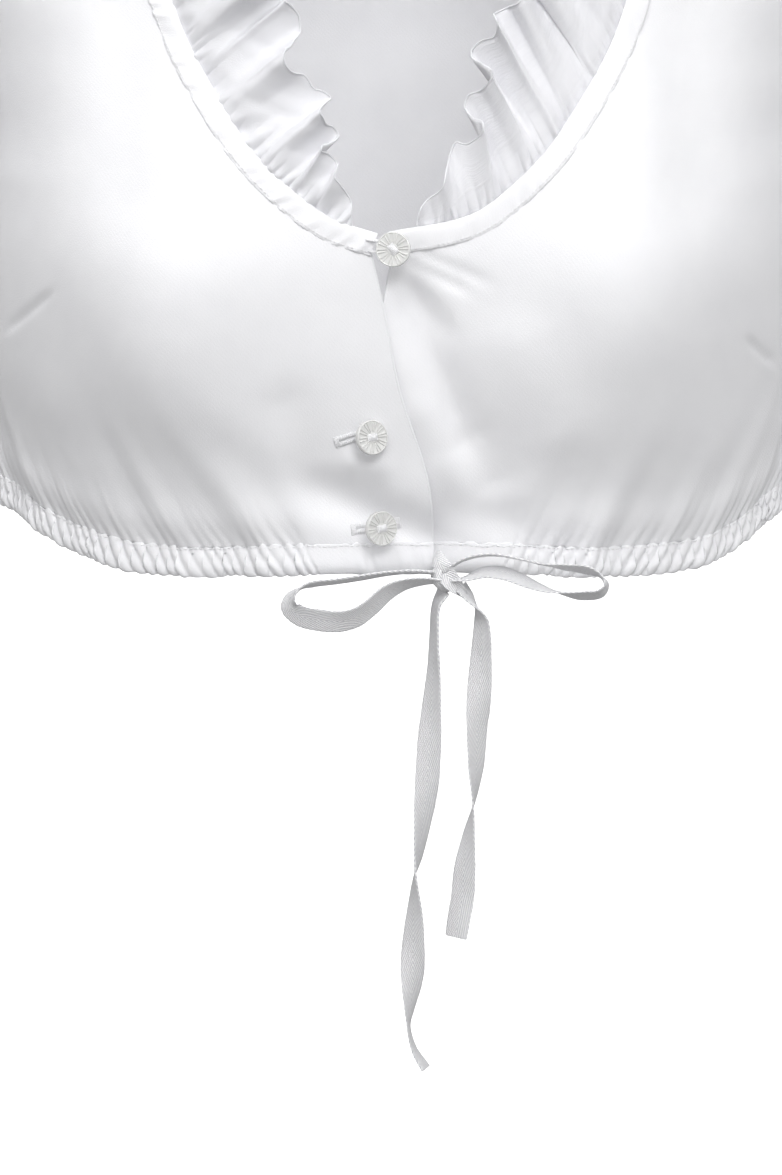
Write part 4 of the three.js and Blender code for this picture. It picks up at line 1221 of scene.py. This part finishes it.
def stitch_row(name, at, normal, tangent, length, gap, radius):
    """Straight stitches along a line: short thread humps that dip into the cloth at both ends."""
    reach = steps_along(at)
    starts = np.arange(gap, reach[-1] - length, length + gap)
    sides = 6
    shares = np.linspace(0, 1, 5)
    hump = np.sin(np.pi * shares) ** 0.6
    angles = np.linspace(0, 2 * np.pi, sides, endpoint=False)
    points, faces, uv = [], [], []
    for n, start in enumerate(starts):
        s = start + shares * length
        centre, up, forward = (read_along(s, reach, values) for values in (at, normal, tangent))
        up, forward = unit(up), unit(forward)
        beside = unit(np.cross(forward, up))
        thick = radius * np.maximum(hump, 0.35)
        ring = (
            centre[:, None]
            + up[:, None] * ((hump * radius * 1.1 - STITCH_SINK)[:, None, None])
            + thick[:, None, None] * spokes(beside, up, angles)
        )
        base = n * len(shares) * sides
        for r in range(len(shares) - 1):
            for k in range(sides):
                a, b = base + r * sides + k, base + r * sides + (k + 1) % sides
                faces.append((a, b, b + sides, a + sides))
        faces.append(tuple(base + k for k in range(sides)))
        faces.append(tuple(base + (len(shares) - 1) * sides + k for k in range(sides)))
        points.append(ring.reshape(-1, 3))
        round_and_along = np.broadcast_arrays(np.arange(sides)[None, :] / sides, s[:, None])
        uv.append(np.stack(round_and_along, -1).reshape(-1, 2))
    piece = new_piece(name, np.concatenate(points), faces, np.concatenate(uv), finish("thread"))
    close_mesh(piece)
    return piece


def front_surface(side):
    """A look-up of a front's outer face: place and normal at x and height."""
    grid = cut().front[side][0]
    normal = outward(grid, (0, -1, 0))
    flat, normals = grid.reshape(-1, 3), normal.reshape(-1, 3)

    def look(x, z):
        near = np.argmin((flat[:, 0] - x) ** 2 + (flat[:, 2] - z) ** 2)
        place, n = flat[near], normals[near]
        offset = np.array([x - place[0], 0, z - place[2]])
        offset[1] = -(n[0] * offset[0] + n[2] * offset[2]) / n[1]
        return place + offset, n

    return look


BUTTONHOLES = [((-19.6, 46.4), (-10.0, 49.6)), ((-14.2, 15.6), (-0.4, 17.4))]  # x and height of both ends
# From stitch to stitch, then how far from the slit its inner edge, outer edge and bars reach.
HOLE_PITCH, HOLE_SLIT, HOLE_EDGE, HOLE_BAR = 0.42, 0.2, 1.75, 1.9


def work_buttonhole(index, ends, look):
    """A slit edged with close satin stitches and barred at both ends."""
    ends = np.array(ends, float)
    length = np.linalg.norm(ends[1] - ends[0])
    along = (ends[1] - ends[0]) / length
    over = np.array([-along[1], along[0]])
    strands = []

    def strand(a, b, lift):
        points = []
        for share in (0, 0.25, 0.5, 0.75, 1):
            place, normal = look(*(a + (b - a) * share))
            rise = lift * math.sin(math.pi * share) - 0.08
            points.append(placed(place + normal * rise)[0])
        radius = 0.3 * size("thread_radius") / 210
        strands.append(thread_strand(points, radius, f"hole{index}_{len(strands)}", 6))

    for n in range(int(length / HOLE_PITCH) + 1):
        middle = ends[0] + along * n * HOLE_PITCH
        slant = along * 0.08 * ((n * 7) % 5 - 2)
        strand(middle + over * HOLE_SLIT, middle + over * HOLE_EDGE + slant, 0.5)
        strand(middle - over * HOLE_SLIT, middle - over * HOLE_EDGE + slant, 0.5)
    for end, sign in ((ends[0], -1), (ends[1], 1)):
        for n in range(4):
            middle = end + along * sign * (0.1 + 0.4 * n)
            strand(middle - over * HOLE_BAR, middle + over * HOLE_BAR, 0.6)
    return joined(f"buttonhole_{index}", strands)


def sew_buttonholes():
    look = front_surface(-1)
    for index, ends in enumerate(BUTTONHOLES):
        dress(work_buttonhole(index, ends, look), "trim")


# Round the top button: x, how far in front of the band, height.
LOOP_ROUTE = [
    (-10.5, 1.2, 115.4), (-8.5, 1.6, 115.1), (-5.5, 1.8, 114.6), (-3.2, 1.8, 112.8),
    (-5.5, 1.8, 111), (-8, 1.6, 111.2), (-9.8, 1.2, 111.8),
]


def twist_loop():
    """The thread loop that holds the top button, its strands bound together."""
    low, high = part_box("button_loop")
    middle = (low[1] + high[1]) / 2
    strands = []
    for k, (dy, dz) in enumerate(((0, 0.2), (0.25, -0.15), (-0.2, -0.12))):
        points = [
            (x / 1000, middle - (proud - 1.6 + dy) / 1000, (z + dz - SHOULDER_HEIGHT) / 1000)
            for x, proud, z in LOOP_ROUTE
        ]
        strands.append(thread_strand(points, size("thread_radius") * 1.3 / 1000, f"loop_{k}"))
    return dress(joined("button_loop_thread", strands), "trim", "button_loop")


def stitch_seams():
    """Rows of straight stitches: along the casing and round the neck binding."""
    hem = cut().hem
    rails = {"right": hem["front", -1], "left": hem["front", 1], "back": hem["back", 0]}
    for place, rail in rails.items():
        s = np.arange(1.0, rail.length - 1, 0.5)
        at, normal, away, tangent = rail.sample(s)
        line = at + normal * 0.5 - away * (0.05 + 0.4 * waver(s, 95, 1.6))[:, None]
        dress(stitch_row("stitches_hem_" + place, line, normal, tangent, 1.5, 0.4, 0.17), "trim")
    rail = cut().neck
    s = np.arange(1.0, rail.length - 1, 0.4)
    at, normal, away, tangent = rail.sample(s)
    line = at + away * 0.1 + normal * 0.86
    dress(stitch_row("stitches_binding", line, normal, tangent, 1.15, 0.45, 0.15), "trim")


# ---------- materials ----------
def linear(value):
    """An sRGB hex colour as linear red, green, blue and alpha."""
    parts = [int(value[k : k + 2], 16) / 255 for k in (1, 3, 5)]
    return [c / 12.92 if c <= 0.04045 else ((c + 0.055) / 1.055) ** 2.4 for c in parts] + [1.0]


def add_node(tree, kind, settings=(), **links):
    """A node with its properties or socket values set, and its inputs fed by other nodes' outputs.
    A link named i0 or i2 feeds the input of that number, any other the input of that name."""
    node = tree.nodes.new(kind)
    for name, value in dict(settings).items():
        if isinstance(name, int) or name in node.inputs:
            node.inputs[name].default_value = value
        else:
            setattr(node, name, value)
    for name, source in links.items():
        numbered = name[0] == "i" and name[1:].isdigit()
        tree.links.new(source, node.inputs[int(name[1:]) if numbered else name.replace("_", " ")])
    return node


def start_material(name):
    """An empty material, and add_node for its own tree."""
    material = bpy.data.materials.new(name)
    material.use_nodes = True
    tree = material.node_tree
    tree.nodes.clear()
    return material, functools.partial(add_node, tree)


def finish_material(add, settings, bump, shade, light, share):
    """The shader, its colour going from shade to light with share."""
    color = add("ShaderNodeMix", {"data_type": "RGBA", 6: shade, 7: light}, Factor=share).outputs[2]
    shader = add("ShaderNodeBsdfPrincipled", settings, Base_Color=color, Normal=bump)
    add("ShaderNodeOutputMaterial", Surface=shader.outputs["BSDF"])


def woven_satin(name, light, shade, thread_mm, turn):
    """Cotton satin, woven with long floats: smooth and softly shining, its diagonal grain only just seen.
    Real threads lie about 0.2 mm apart; they are drawn at thread_mm so that the grain shows."""
    material, add = start_material(name)
    grain = add("ShaderNodeUVMap", {"uv_map": "grain"}).outputs["UV"]
    rotated = add("ShaderNodeMapping", {"Rotation": (0, 0, turn)}, Vector=grain).outputs["Vector"]
    weave = {"Scale": 0.314 / thread_mm, "Distortion": 3.5, "Detail": 2.0, "Detail Scale": 3.0}
    across = add("ShaderNodeTexWave", weave, Vector=rotated).outputs["Fac"]
    stretched = add("ShaderNodeMapping", {"Scale": (1.35, 0.75, 1.0)}, Vector=rotated).outputs["Vector"]
    slubs = {"Scale": 2.0, "Detail": 2.0, "Roughness": 0.75}
    slub = add("ShaderNodeTexNoise", slubs, Vector=stretched).outputs["Fac"]
    cloud = add("ShaderNodeTexNoise", {"Scale": 0.05, "Detail": 2.0}, Vector=grain).outputs["Fac"]
    height = add("ShaderNodeMath", {"operation": "MULTIPLY_ADD", 1: 0.11}, i0=across, i2=slub).outputs[0]
    bump = add("ShaderNodeBump", {"Strength": 0.65, "Distance": 0.00016}, Height=height).outputs["Normal"]
    drape = {"Strength": 0.25, "Distance": 0.0012}
    soft = add("ShaderNodeBump", drape, Height=cloud, Normal=bump).outputs["Normal"]
    mixed = add("ShaderNodeMath", {"operation": "MULTIPLY_ADD", 1: 0.35}, i0=slub, i2=cloud).outputs[0]
    settings = {
        "Roughness": 0.52,
        "IOR": 1.47,
        "Specular IOR Level": 0.3,
        "Sheen Weight": 0.25,
        "Sheen Roughness": 0.4,
    }
    finish_material(add, settings, soft, shade, light, mixed)
    return material


def herringbone_twill(name, light, shade, rib_mm):
    """Cotton tape woven in herringbone: steep ribs that meet along the middle, duller than the satin.
    Along the tape, the ribs lie rib_mm apart."""
    material, add = start_material(name)
    grain = add("ShaderNodeUVMap", {"uv_map": "grain"}).outputs["UV"]
    parts = add("ShaderNodeSeparateXYZ", Vector=grain).outputs
    side = add("ShaderNodeMath", {"operation": "ABSOLUTE"}, i0=parts["X"]).outputs[0]
    steep = add("ShaderNodeMath", {"operation": "MULTIPLY_ADD", 1: -2.6}, i0=side, i2=parts["Y"]).outputs[0]
    phase = add("ShaderNodeMath", {"operation": "MULTIPLY", 1: 2 * math.pi / rib_mm}, i0=steep).outputs[0]
    ribs = add("ShaderNodeMath", {"operation": "SINE"}, i0=phase).outputs[0]
    picks = add("ShaderNodeTexNoise", {"Scale": 2.6, "Detail": 2.0}, Vector=grain).outputs["Fac"]
    height = add("ShaderNodeMath", {"operation": "MULTIPLY_ADD", 1: 0.5}, i0=ribs, i2=picks).outputs[0]
    bump = add("ShaderNodeBump", {"Strength": 0.8, "Distance": 0.00028}, Height=height).outputs["Normal"]
    # Painted shade and highlight: the colour darkens in the grooves between the ribs and lightens on their
    # crests, in step with the bump.
    tone = add("ShaderNodeMath", {"operation": "MULTIPLY_ADD", 1: 0.5, 2: 0.55}, i0=ribs).outputs[0]
    settings = {
        "Roughness": 0.75,
        "IOR": 1.47,
        "Specular IOR Level": 0.25,
        "Sheen Weight": 0.2,
        "Sheen Roughness": 0.5,
    }
    finish_material(add, settings, bump, shade, light, tone)
    return material


def sewing_thread(name, light, shade):
    """Mercerised cotton sewing thread: two plies twisted, with a slight shine."""
    material, add = start_material(name)
    grain = add("ShaderNodeUVMap", {"uv_map": "grain"}).outputs["UV"]
    parts = add("ShaderNodeSeparateXYZ", Vector=grain).outputs
    twice = {"operation": "MULTIPLY_ADD", 1: 2.0}
    twist = add("ShaderNodeMath", twice, i0=parts["Y"], i2=parts["X"]).outputs[0]
    phase = add("ShaderNodeMath", {"operation": "MULTIPLY", 1: 2 * math.pi}, i0=twist).outputs[0]
    plies = add("ShaderNodeMath", {"operation": "SINE"}, i0=phase).outputs[0]
    bump = add("ShaderNodeBump", {"Strength": 0.5, "Distance": 0.0001}, Height=plies).outputs["Normal"]
    # Painted shade: the colour darkens between the plies and lightens on their crests, in step with the bump.
    tone = add("ShaderNodeMath", {"operation": "MULTIPLY_ADD", 1: 0.3, 2: 0.6}, i0=plies).outputs[0]
    settings = {"Roughness": 0.5, "IOR": 1.47, "Specular IOR Level": 0.4, "Sheen Weight": 0.2}
    finish_material(add, settings, bump, shade, light, tone)
    return material


def pearl_polyester(name, light, shade):
    """Polyester button stock with pearl pigment: cloudy, milky and glossy."""
    material, add = start_material(name)
    place = add("ShaderNodeTexCoord").outputs["Object"]
    clouds = {"Scale": 420.0, "Detail": 3.0, "Distortion": 1.5}
    cloud = add("ShaderNodeTexNoise", clouds, Vector=place).outputs["Fac"]
    scratch = add("ShaderNodeTexNoise", {"Scale": 2600.0, "Detail": 1.0}, Vector=place).outputs["Fac"]
    bump = add("ShaderNodeBump", {"Strength": 0.08, "Distance": 0.0001}, Height=scratch).outputs["Normal"]
    settings = {
        "Roughness": 0.24,
        "IOR": 1.55,
        "Coat Weight": 0.35,
        "Coat Roughness": 0.12,
        "Specular IOR Level": 0.5,
    }
    finish_material(add, settings, bump, shade, light, cloud)
    return material


def studio_paper(name, tone):
    """Seamless studio paper, lit evenly."""
    material, add = start_material(name)
    place = add("ShaderNodeTexCoord").outputs["Object"]
    fleck = add("ShaderNodeTexNoise", {"Scale": 900.0}, Vector=place).outputs["Fac"]
    bump = add("ShaderNodeBump", {"Strength": 0.02, "Distance": 0.0002}, Height=fleck).outputs["Normal"]
    settings = {
        "Roughness": 0.9,
        "Specular IOR Level": 0.1,
        "Emission Color": tone,
        "Emission Strength": 1.0,
        "Base Color": tone,
    }
    shader = add("ShaderNodeBsdfPrincipled", settings, Normal=bump)
    add("ShaderNodeOutputMaterial", Surface=shader.outputs["BSDF"])
    return material


# ---------- stage ----------
VIEW = {"target": (-0.002, -0.115, -0.313), "distance": 1.6, "elevation": 7.0, "frame_width": 0.266}


def aim(obj, target):
    obj.rotation_euler = (Vector(target) - obj.location).to_track_quat("-Z", "Y").to_euler()


def set_camera():
    camera = bpy.data.objects.new("camera", bpy.data.cameras.new("camera"))
    bpy.context.scene.collection.objects.link(camera)
    lift = math.radians(VIEW["elevation"])
    x, y, z = VIEW["target"]
    camera.location = (x, y - VIEW["distance"] * math.cos(lift), z + VIEW["distance"] * math.sin(lift))
    aim(camera, VIEW["target"])
    camera.data.sensor_fit = "HORIZONTAL"
    camera.data.sensor_width = 36
    camera.data.lens = 36 * VIEW["distance"] / VIEW["frame_width"]
    camera.data.clip_end = 50
    bpy.context.scene.camera = camera


LIGHTS = [
    {"name": "key", "at": (0.4, -2.0, 0.98), "size": 0.8, "power": 20.5},
    {"name": "fill_left", "at": (-1.8, -1.1, 1.0), "size": 1.3, "power": 5.0},
    {"name": "fill_right", "at": (1.8, -1.2, 0.9), "size": 1.3, "power": 6.0},
    {"name": "fill_low", "at": (-0.2, -2.0, -0.5), "size": 1.4, "power": 2.0},
    {"name": "top", "at": (-0.1, 0.4, 1.9), "size": 1.6, "power": 17.0},
    {"name": "neck", "at": (-0.12, -0.5, 0.32), "size": 0.35, "power": 1.55},
]
WORLD_ABOVE, WORLD_BELOW = 0.43, 0.36  # how bright the soft light is from above and from below
NECK_LIGHT_AIM, LIGHT_AIM = (0, 0.09, -0.12), (0, -0.05, -0.22)  # the neck's light, and the others'


def set_lights():
    for spec in LIGHTS:
        light = bpy.data.lights.new(spec["name"], "AREA")
        light.energy = spec["power"]
        light.size = spec["size"]
        lamp = bpy.data.objects.new(spec["name"], light)
        bpy.context.scene.collection.objects.link(lamp)
        lamp.location = spec["at"]
        lamp.visible_camera = False
        aim(lamp, NECK_LIGHT_AIM if spec["name"] == "neck" else LIGHT_AIM)
    world = bpy.data.worlds.new("studio")
    world.use_nodes = True
    tree = world.node_tree
    place = add_node(tree, "ShaderNodeTexCoord").outputs["Generated"]
    up = add_node(tree, "ShaderNodeSeparateXYZ", Vector=place).outputs["Z"]
    brightness = {1: -1.0, 2: 1.0, 3: WORLD_BELOW, 4: WORLD_ABOVE}
    level = add_node(tree, "ShaderNodeMapRange", brightness, Value=up).outputs[0]
    tree.nodes["Background"].inputs[0].default_value = (1, 1, 1, 1)
    tree.links.new(level, tree.nodes["Background"].inputs[1])
    bpy.context.scene.world = world
    bpy.context.scene.view_settings.view_transform = "Standard"
    bpy.context.scene.view_settings.look = "None"


FLOOR_RADIUS, FLOOR_HEIGHT = 9.0, -0.62  # metres; wider than any view's distance
FLOOR_STEPS = ((1.6, 0.3), (1.1, 0.9), (0.5, 1.6), (0.1, 3.0), (0.0, 5.0))  # outwards and up


def lay_floor():
    """A wide sweep of paper: level under the garment and curving up far behind it all round."""
    deselect_all()
    bpy.ops.mesh.primitive_circle_add(
        vertices=96, radius=FLOOR_RADIUS, fill_type="NGON", location=(0, 0, FLOOR_HEIGHT)
    )
    floor = bpy.context.object
    floor.name = "studio_floor"
    bpy.ops.object.mode_set(mode="EDIT")
    bpy.ops.mesh.select_all(action="SELECT")
    for width, rise in FLOOR_STEPS:
        bpy.ops.mesh.extrude_region_move(TRANSFORM_OT_translate={"value": (0, 0, rise)})
        grow = 1 + width / FLOOR_RADIUS
        bpy.ops.transform.resize(value=(grow, grow, 1))
    bpy.ops.object.mode_set(mode="OBJECT")
    floor.data.materials.append(finish("paper"))
    floor.data.shade_smooth()
    for flag in ("visible_diffuse", "visible_glossy", "visible_shadow", "visible_transmission"):
        setattr(floor, flag, False)


# ---------- the add-on ----------
SATIN_LIGHT, SATIN_SHADE = "#F4F4F6", "#ECECEF"
# The ruffle's two tones are the satin's made darker: painted shade for the light that its single layer lets
# through.
FRILL_LIGHT, FRILL_SHADE = "#EAEAED", "#E1E1E5"
BINDING_LIGHT, BINDING_SHADE = "#F3F3F5", "#E9E9EC"
# The tape's darker tone is painted shade between its ribs.
TAPE_LIGHT, TAPE_SHADE = "#FFFFFF", "#DADADF"
# The thread's darker tone is painted shade between its plies.
THREAD_LIGHT, THREAD_SHADE = "#F6F6F7", "#DCDCDF"
PEARL_LIGHT, PEARL_SHADE = "#E6E6E4", "#D3D3D2"
PAPER = "#FFFFFF"


def length_property(name, description, millimetres, most):
    return bpy.props.FloatProperty(
        name=name,
        description=description,
        default=millimetres / 1000,
        min=0.0,
        max=most / 1000,
        unit="LENGTH",
        precision=5,
    )


def colour_property(name, description, value):
    return bpy.props.FloatVectorProperty(
        name=name,
        description=description,
        default=linear(value)[:3],
        min=0.0,
        max=1.0,
        size=3,
        subtype="COLOR",
    )


class BlouseSizes(bpy.types.PropertyGroup):
    """Thicknesses and fullness of the blouse's cloth and trims."""

    front_thickness: length_property("Front thickness", "Both layers of a front, which is lined", 1.0, 3)
    cloth_thickness: length_property("Cloth thickness", "One layer of satin, in the back and sleeves", 0.6, 3)
    ruffle_thickness: length_property("Ruffle thickness", "The ruffle's single layer", 0.45, 2)
    ruffle_waves: bpy.props.IntProperty(
        name="Ruffle waves",
        description="Loops of the ruffle's free edge between the two front lengths",
        default=44,
        min=8,
        max=70,
    )
    gather_pitch: length_property("Gather pitch", "Average width of a puff along the hem casing", 4.4, 12)
    tape_width: length_property("Tape width", "Width of the drawstring tape", 8.5, 20)
    tape_thickness: length_property("Tape thickness", "Thickness of the drawstring tape", 0.75, 2)
    button_radius: length_property("Button radius", "Outer radius of the buttons", 5.85, 12)
    thread_radius: length_property("Thread radius", "Sewing thread, drawn a little thick", 0.21, 0.6)


class BlouseColours(bpy.types.PropertyGroup):
    """Two tones of each finish: its light one and the one between threads or in clouds. The tape's darker
    tone between its ribs and the thread's between its plies are painted shade, and the ruffle's two tones are
    the satin's darkened as painted shade.
    """

    satin_light: colour_property("Satin", "Light tone of the cotton satin", SATIN_LIGHT)
    satin_shade: colour_property("Satin shade", "Tone between the satin's threads", SATIN_SHADE)
    frill_light: colour_property("Ruffle", "Light tone of the ruffle, a single layer", FRILL_LIGHT)
    frill_shade: colour_property("Ruffle shade", "Tone between the ruffle's threads", FRILL_SHADE)
    binding_light: colour_property("Binding", "Light tone of the bias binding", BINDING_LIGHT)
    binding_shade: colour_property("Binding shade", "Tone between the binding's threads", BINDING_SHADE)
    tape_light: colour_property("Tape", "Light tone of the herringbone tape", TAPE_LIGHT)
    tape_shade: colour_property("Tape shade", "Tone between the tape's ribs", TAPE_SHADE)
    thread_light: colour_property("Thread", "Light tone of the sewing thread", THREAD_LIGHT)
    thread_shade: colour_property("Thread shade", "Tone between the thread's plies", THREAD_SHADE)
    pearl_light: colour_property("Pearl", "Light tone of the buttons", PEARL_LIGHT)
    pearl_shade: colour_property("Pearl shade", "Cloudy tone in the buttons", PEARL_SHADE)
    paper: colour_property("Paper", "Tone of the studio paper", PAPER)


def size(name):
    """A length of the add-on's settings, in millimetres."""
    return getattr(bpy.context.scene.blouse_sizes, name) * 1000


# How each finish is made, the name of its material, and its thread spacing in mm and turn.
MAKERS = {
    "satin": (woven_satin, "woven_cotton_satin", 1.15, math.radians(-45)),
    # The ruffle's material is the satin with its tones darkened, as painted shade.
    "frill": (woven_satin, "single_layer_satin", 1.15, math.radians(-45)),
    "binding": (woven_satin, "bias_cut_satin", 0.9, math.radians(-60)),
    "tape": (herringbone_twill, "herringbone_twill_tape", 1.87),
    "thread": (sewing_thread, "mercerised_thread"),
    "pearl": (pearl_polyester, "pearl_polyester"),
    "paper": (studio_paper, "studio_paper"),
}


@functools.cache
def finish(name):
    """The material of a finish, made the first time that it is asked for."""
    colours = bpy.context.scene.blouse_colours
    maker, title, *settings = MAKERS[name]
    parts = ["paper"] if name == "paper" else [name + "_light", name + "_shade"]
    tones = [[*getattr(colours, part), 1.0] for part in parts]
    return maker(title, *tones, *settings)


@functools.cache
def cut():
    """The cut pieces' grids, worked out once and shared by everything sewn to them."""
    return Cut()


class BLOUSE_OT_set_stage(bpy.types.Operator):
    """Set the camera, the studio lights and the paper floor"""

    bl_idname = "blouse.set_stage"
    bl_label = "Stage"

    def execute(self, context):
        set_camera()
        set_lights()
        lay_floor()
        return {"FINISHED"}


class BLOUSE_OT_tie_drawstring(bpy.types.Operator):
    """Weave the drawstring tape and tie it in its bow"""

    bl_idname = "blouse.tie_drawstring"
    bl_label = "Drawstring"

    def execute(self, context):
        tie_drawstring()
        return {"FINISHED"}


class BLOUSE_OT_cut_fronts(bpy.types.Operator):
    """Cut both fronts, shaped over the bust and gathered at the hem"""

    bl_idname = "blouse.cut_fronts"
    bl_label = "Fronts"

    def execute(self, context):
        for side in (-1, 1):
            cut_front(side)
        return {"FINISHED"}


class BLOUSE_OT_cut_back(bpy.types.Operator):
    """Cut the back in one piece"""

    bl_idname = "blouse.cut_back"
    bl_label = "Back"

    def execute(self, context):
        cut_back()
        return {"FINISHED"}


class BLOUSE_OT_set_sleeves(bpy.types.Operator):
    """Set the short sleeves into the armholes"""

    bl_idname = "blouse.set_sleeves"
    bl_label = "Sleeves"

    def execute(self, context):
        for side in (-1, 1):
            set_sleeve(side)
        return {"FINISHED"}


class BLOUSE_OT_bind_neck(bpy.types.Operator):
    """Bind the neckline with its narrow folded band"""

    bl_idname = "blouse.bind_neck"
    bl_label = "Neck binding"

    def execute(self, context):
        bind_neck()
        return {"FINISHED"}


class BLOUSE_OT_gather_ruffle(bpy.types.Operator):
    """Gather the ruffle into the neck binding"""

    bl_idname = "blouse.gather_ruffle"
    bl_label = "Neck ruffle"

    def execute(self, context):
        gather_ruffle()
        return {"FINISHED"}


class BLOUSE_OT_draw_in_hem(bpy.types.Operator):
    """Turn the hem up into its casing and draw it in"""

    bl_idname = "blouse.draw_in_hem"
    bl_label = "Hem casing"

    def execute(self, context):
        draw_in_hem()
        return {"FINISHED"}


class BLOUSE_OT_sew_buttons(bpy.types.Operator):
    """Press the pearl buttons and sew them on with thread"""

    bl_idname = "blouse.sew_buttons"
    bl_label = "Buttons"

    def execute(self, context):
        for name in BUTTONS:
            sew_on_button(name)
        return {"FINISHED"}


class BLOUSE_OT_work_buttonholes(bpy.types.Operator):
    """Work the buttonholes in satin stitch and twist the thread loop of the top button"""

    bl_idname = "blouse.work_buttonholes"
    bl_label = "Buttonholes and loop"

    def execute(self, context):
        sew_buttonholes()
        twist_loop()
        return {"FINISHED"}


class BLOUSE_OT_stitch_seams(bpy.types.Operator):
    """Stitch the hem's casing and the neck binding"""

    bl_idname = "blouse.stitch_seams"
    bl_label = "Stitching"

    def execute(self, context):
        stitch_seams()
        return {"FINISHED"}


OPERATORS = (
    BLOUSE_OT_set_stage,
    BLOUSE_OT_tie_drawstring,
    BLOUSE_OT_cut_fronts,
    BLOUSE_OT_cut_back,
    BLOUSE_OT_set_sleeves,
    BLOUSE_OT_bind_neck,
    BLOUSE_OT_gather_ruffle,
    BLOUSE_OT_draw_in_hem,
    BLOUSE_OT_sew_buttons,
    BLOUSE_OT_work_buttonholes,
    BLOUSE_OT_stitch_seams,
)


class BLOUSE_PT_panel(bpy.types.Panel):
    """Sizes, colours and pieces of the blouse"""

    bl_label = "Dirndl blouse"
    bl_space_type = "VIEW_3D"
    bl_region_type = "UI"
    bl_category = "Blouse"

    def draw(self, context):
        for group in (context.scene.blouse_sizes, context.scene.blouse_colours):
            column = self.layout.column(align=True)
            for name in group.bl_rna.properties.keys():
                if name not in ("rna_type", "name"):
                    column.prop(group, name)
        for operator in OPERATORS:
            self.layout.operator(operator.bl_idname)


CLASSES = (BlouseSizes, BlouseColours, *OPERATORS, BLOUSE_PT_panel)


def register():
    for each in CLASSES:
        bpy.utils.register_class(each)
    bpy.types.Scene.blouse_sizes = bpy.props.PointerProperty(type=BlouseSizes)
    bpy.types.Scene.blouse_colours = bpy.props.PointerProperty(type=BlouseColours)


def unregister():
    del bpy.types.Scene.blouse_colours
    del bpy.types.Scene.blouse_sizes
    for each in reversed(CLASSES):
        bpy.utils.unregister_class(each)


def main():
    register()
    for operator in OPERATORS:
        group, name = operator.bl_idname.split(".")
        getattr(getattr(bpy.ops, group), name)()


if __name__ == "__main__":
    main()
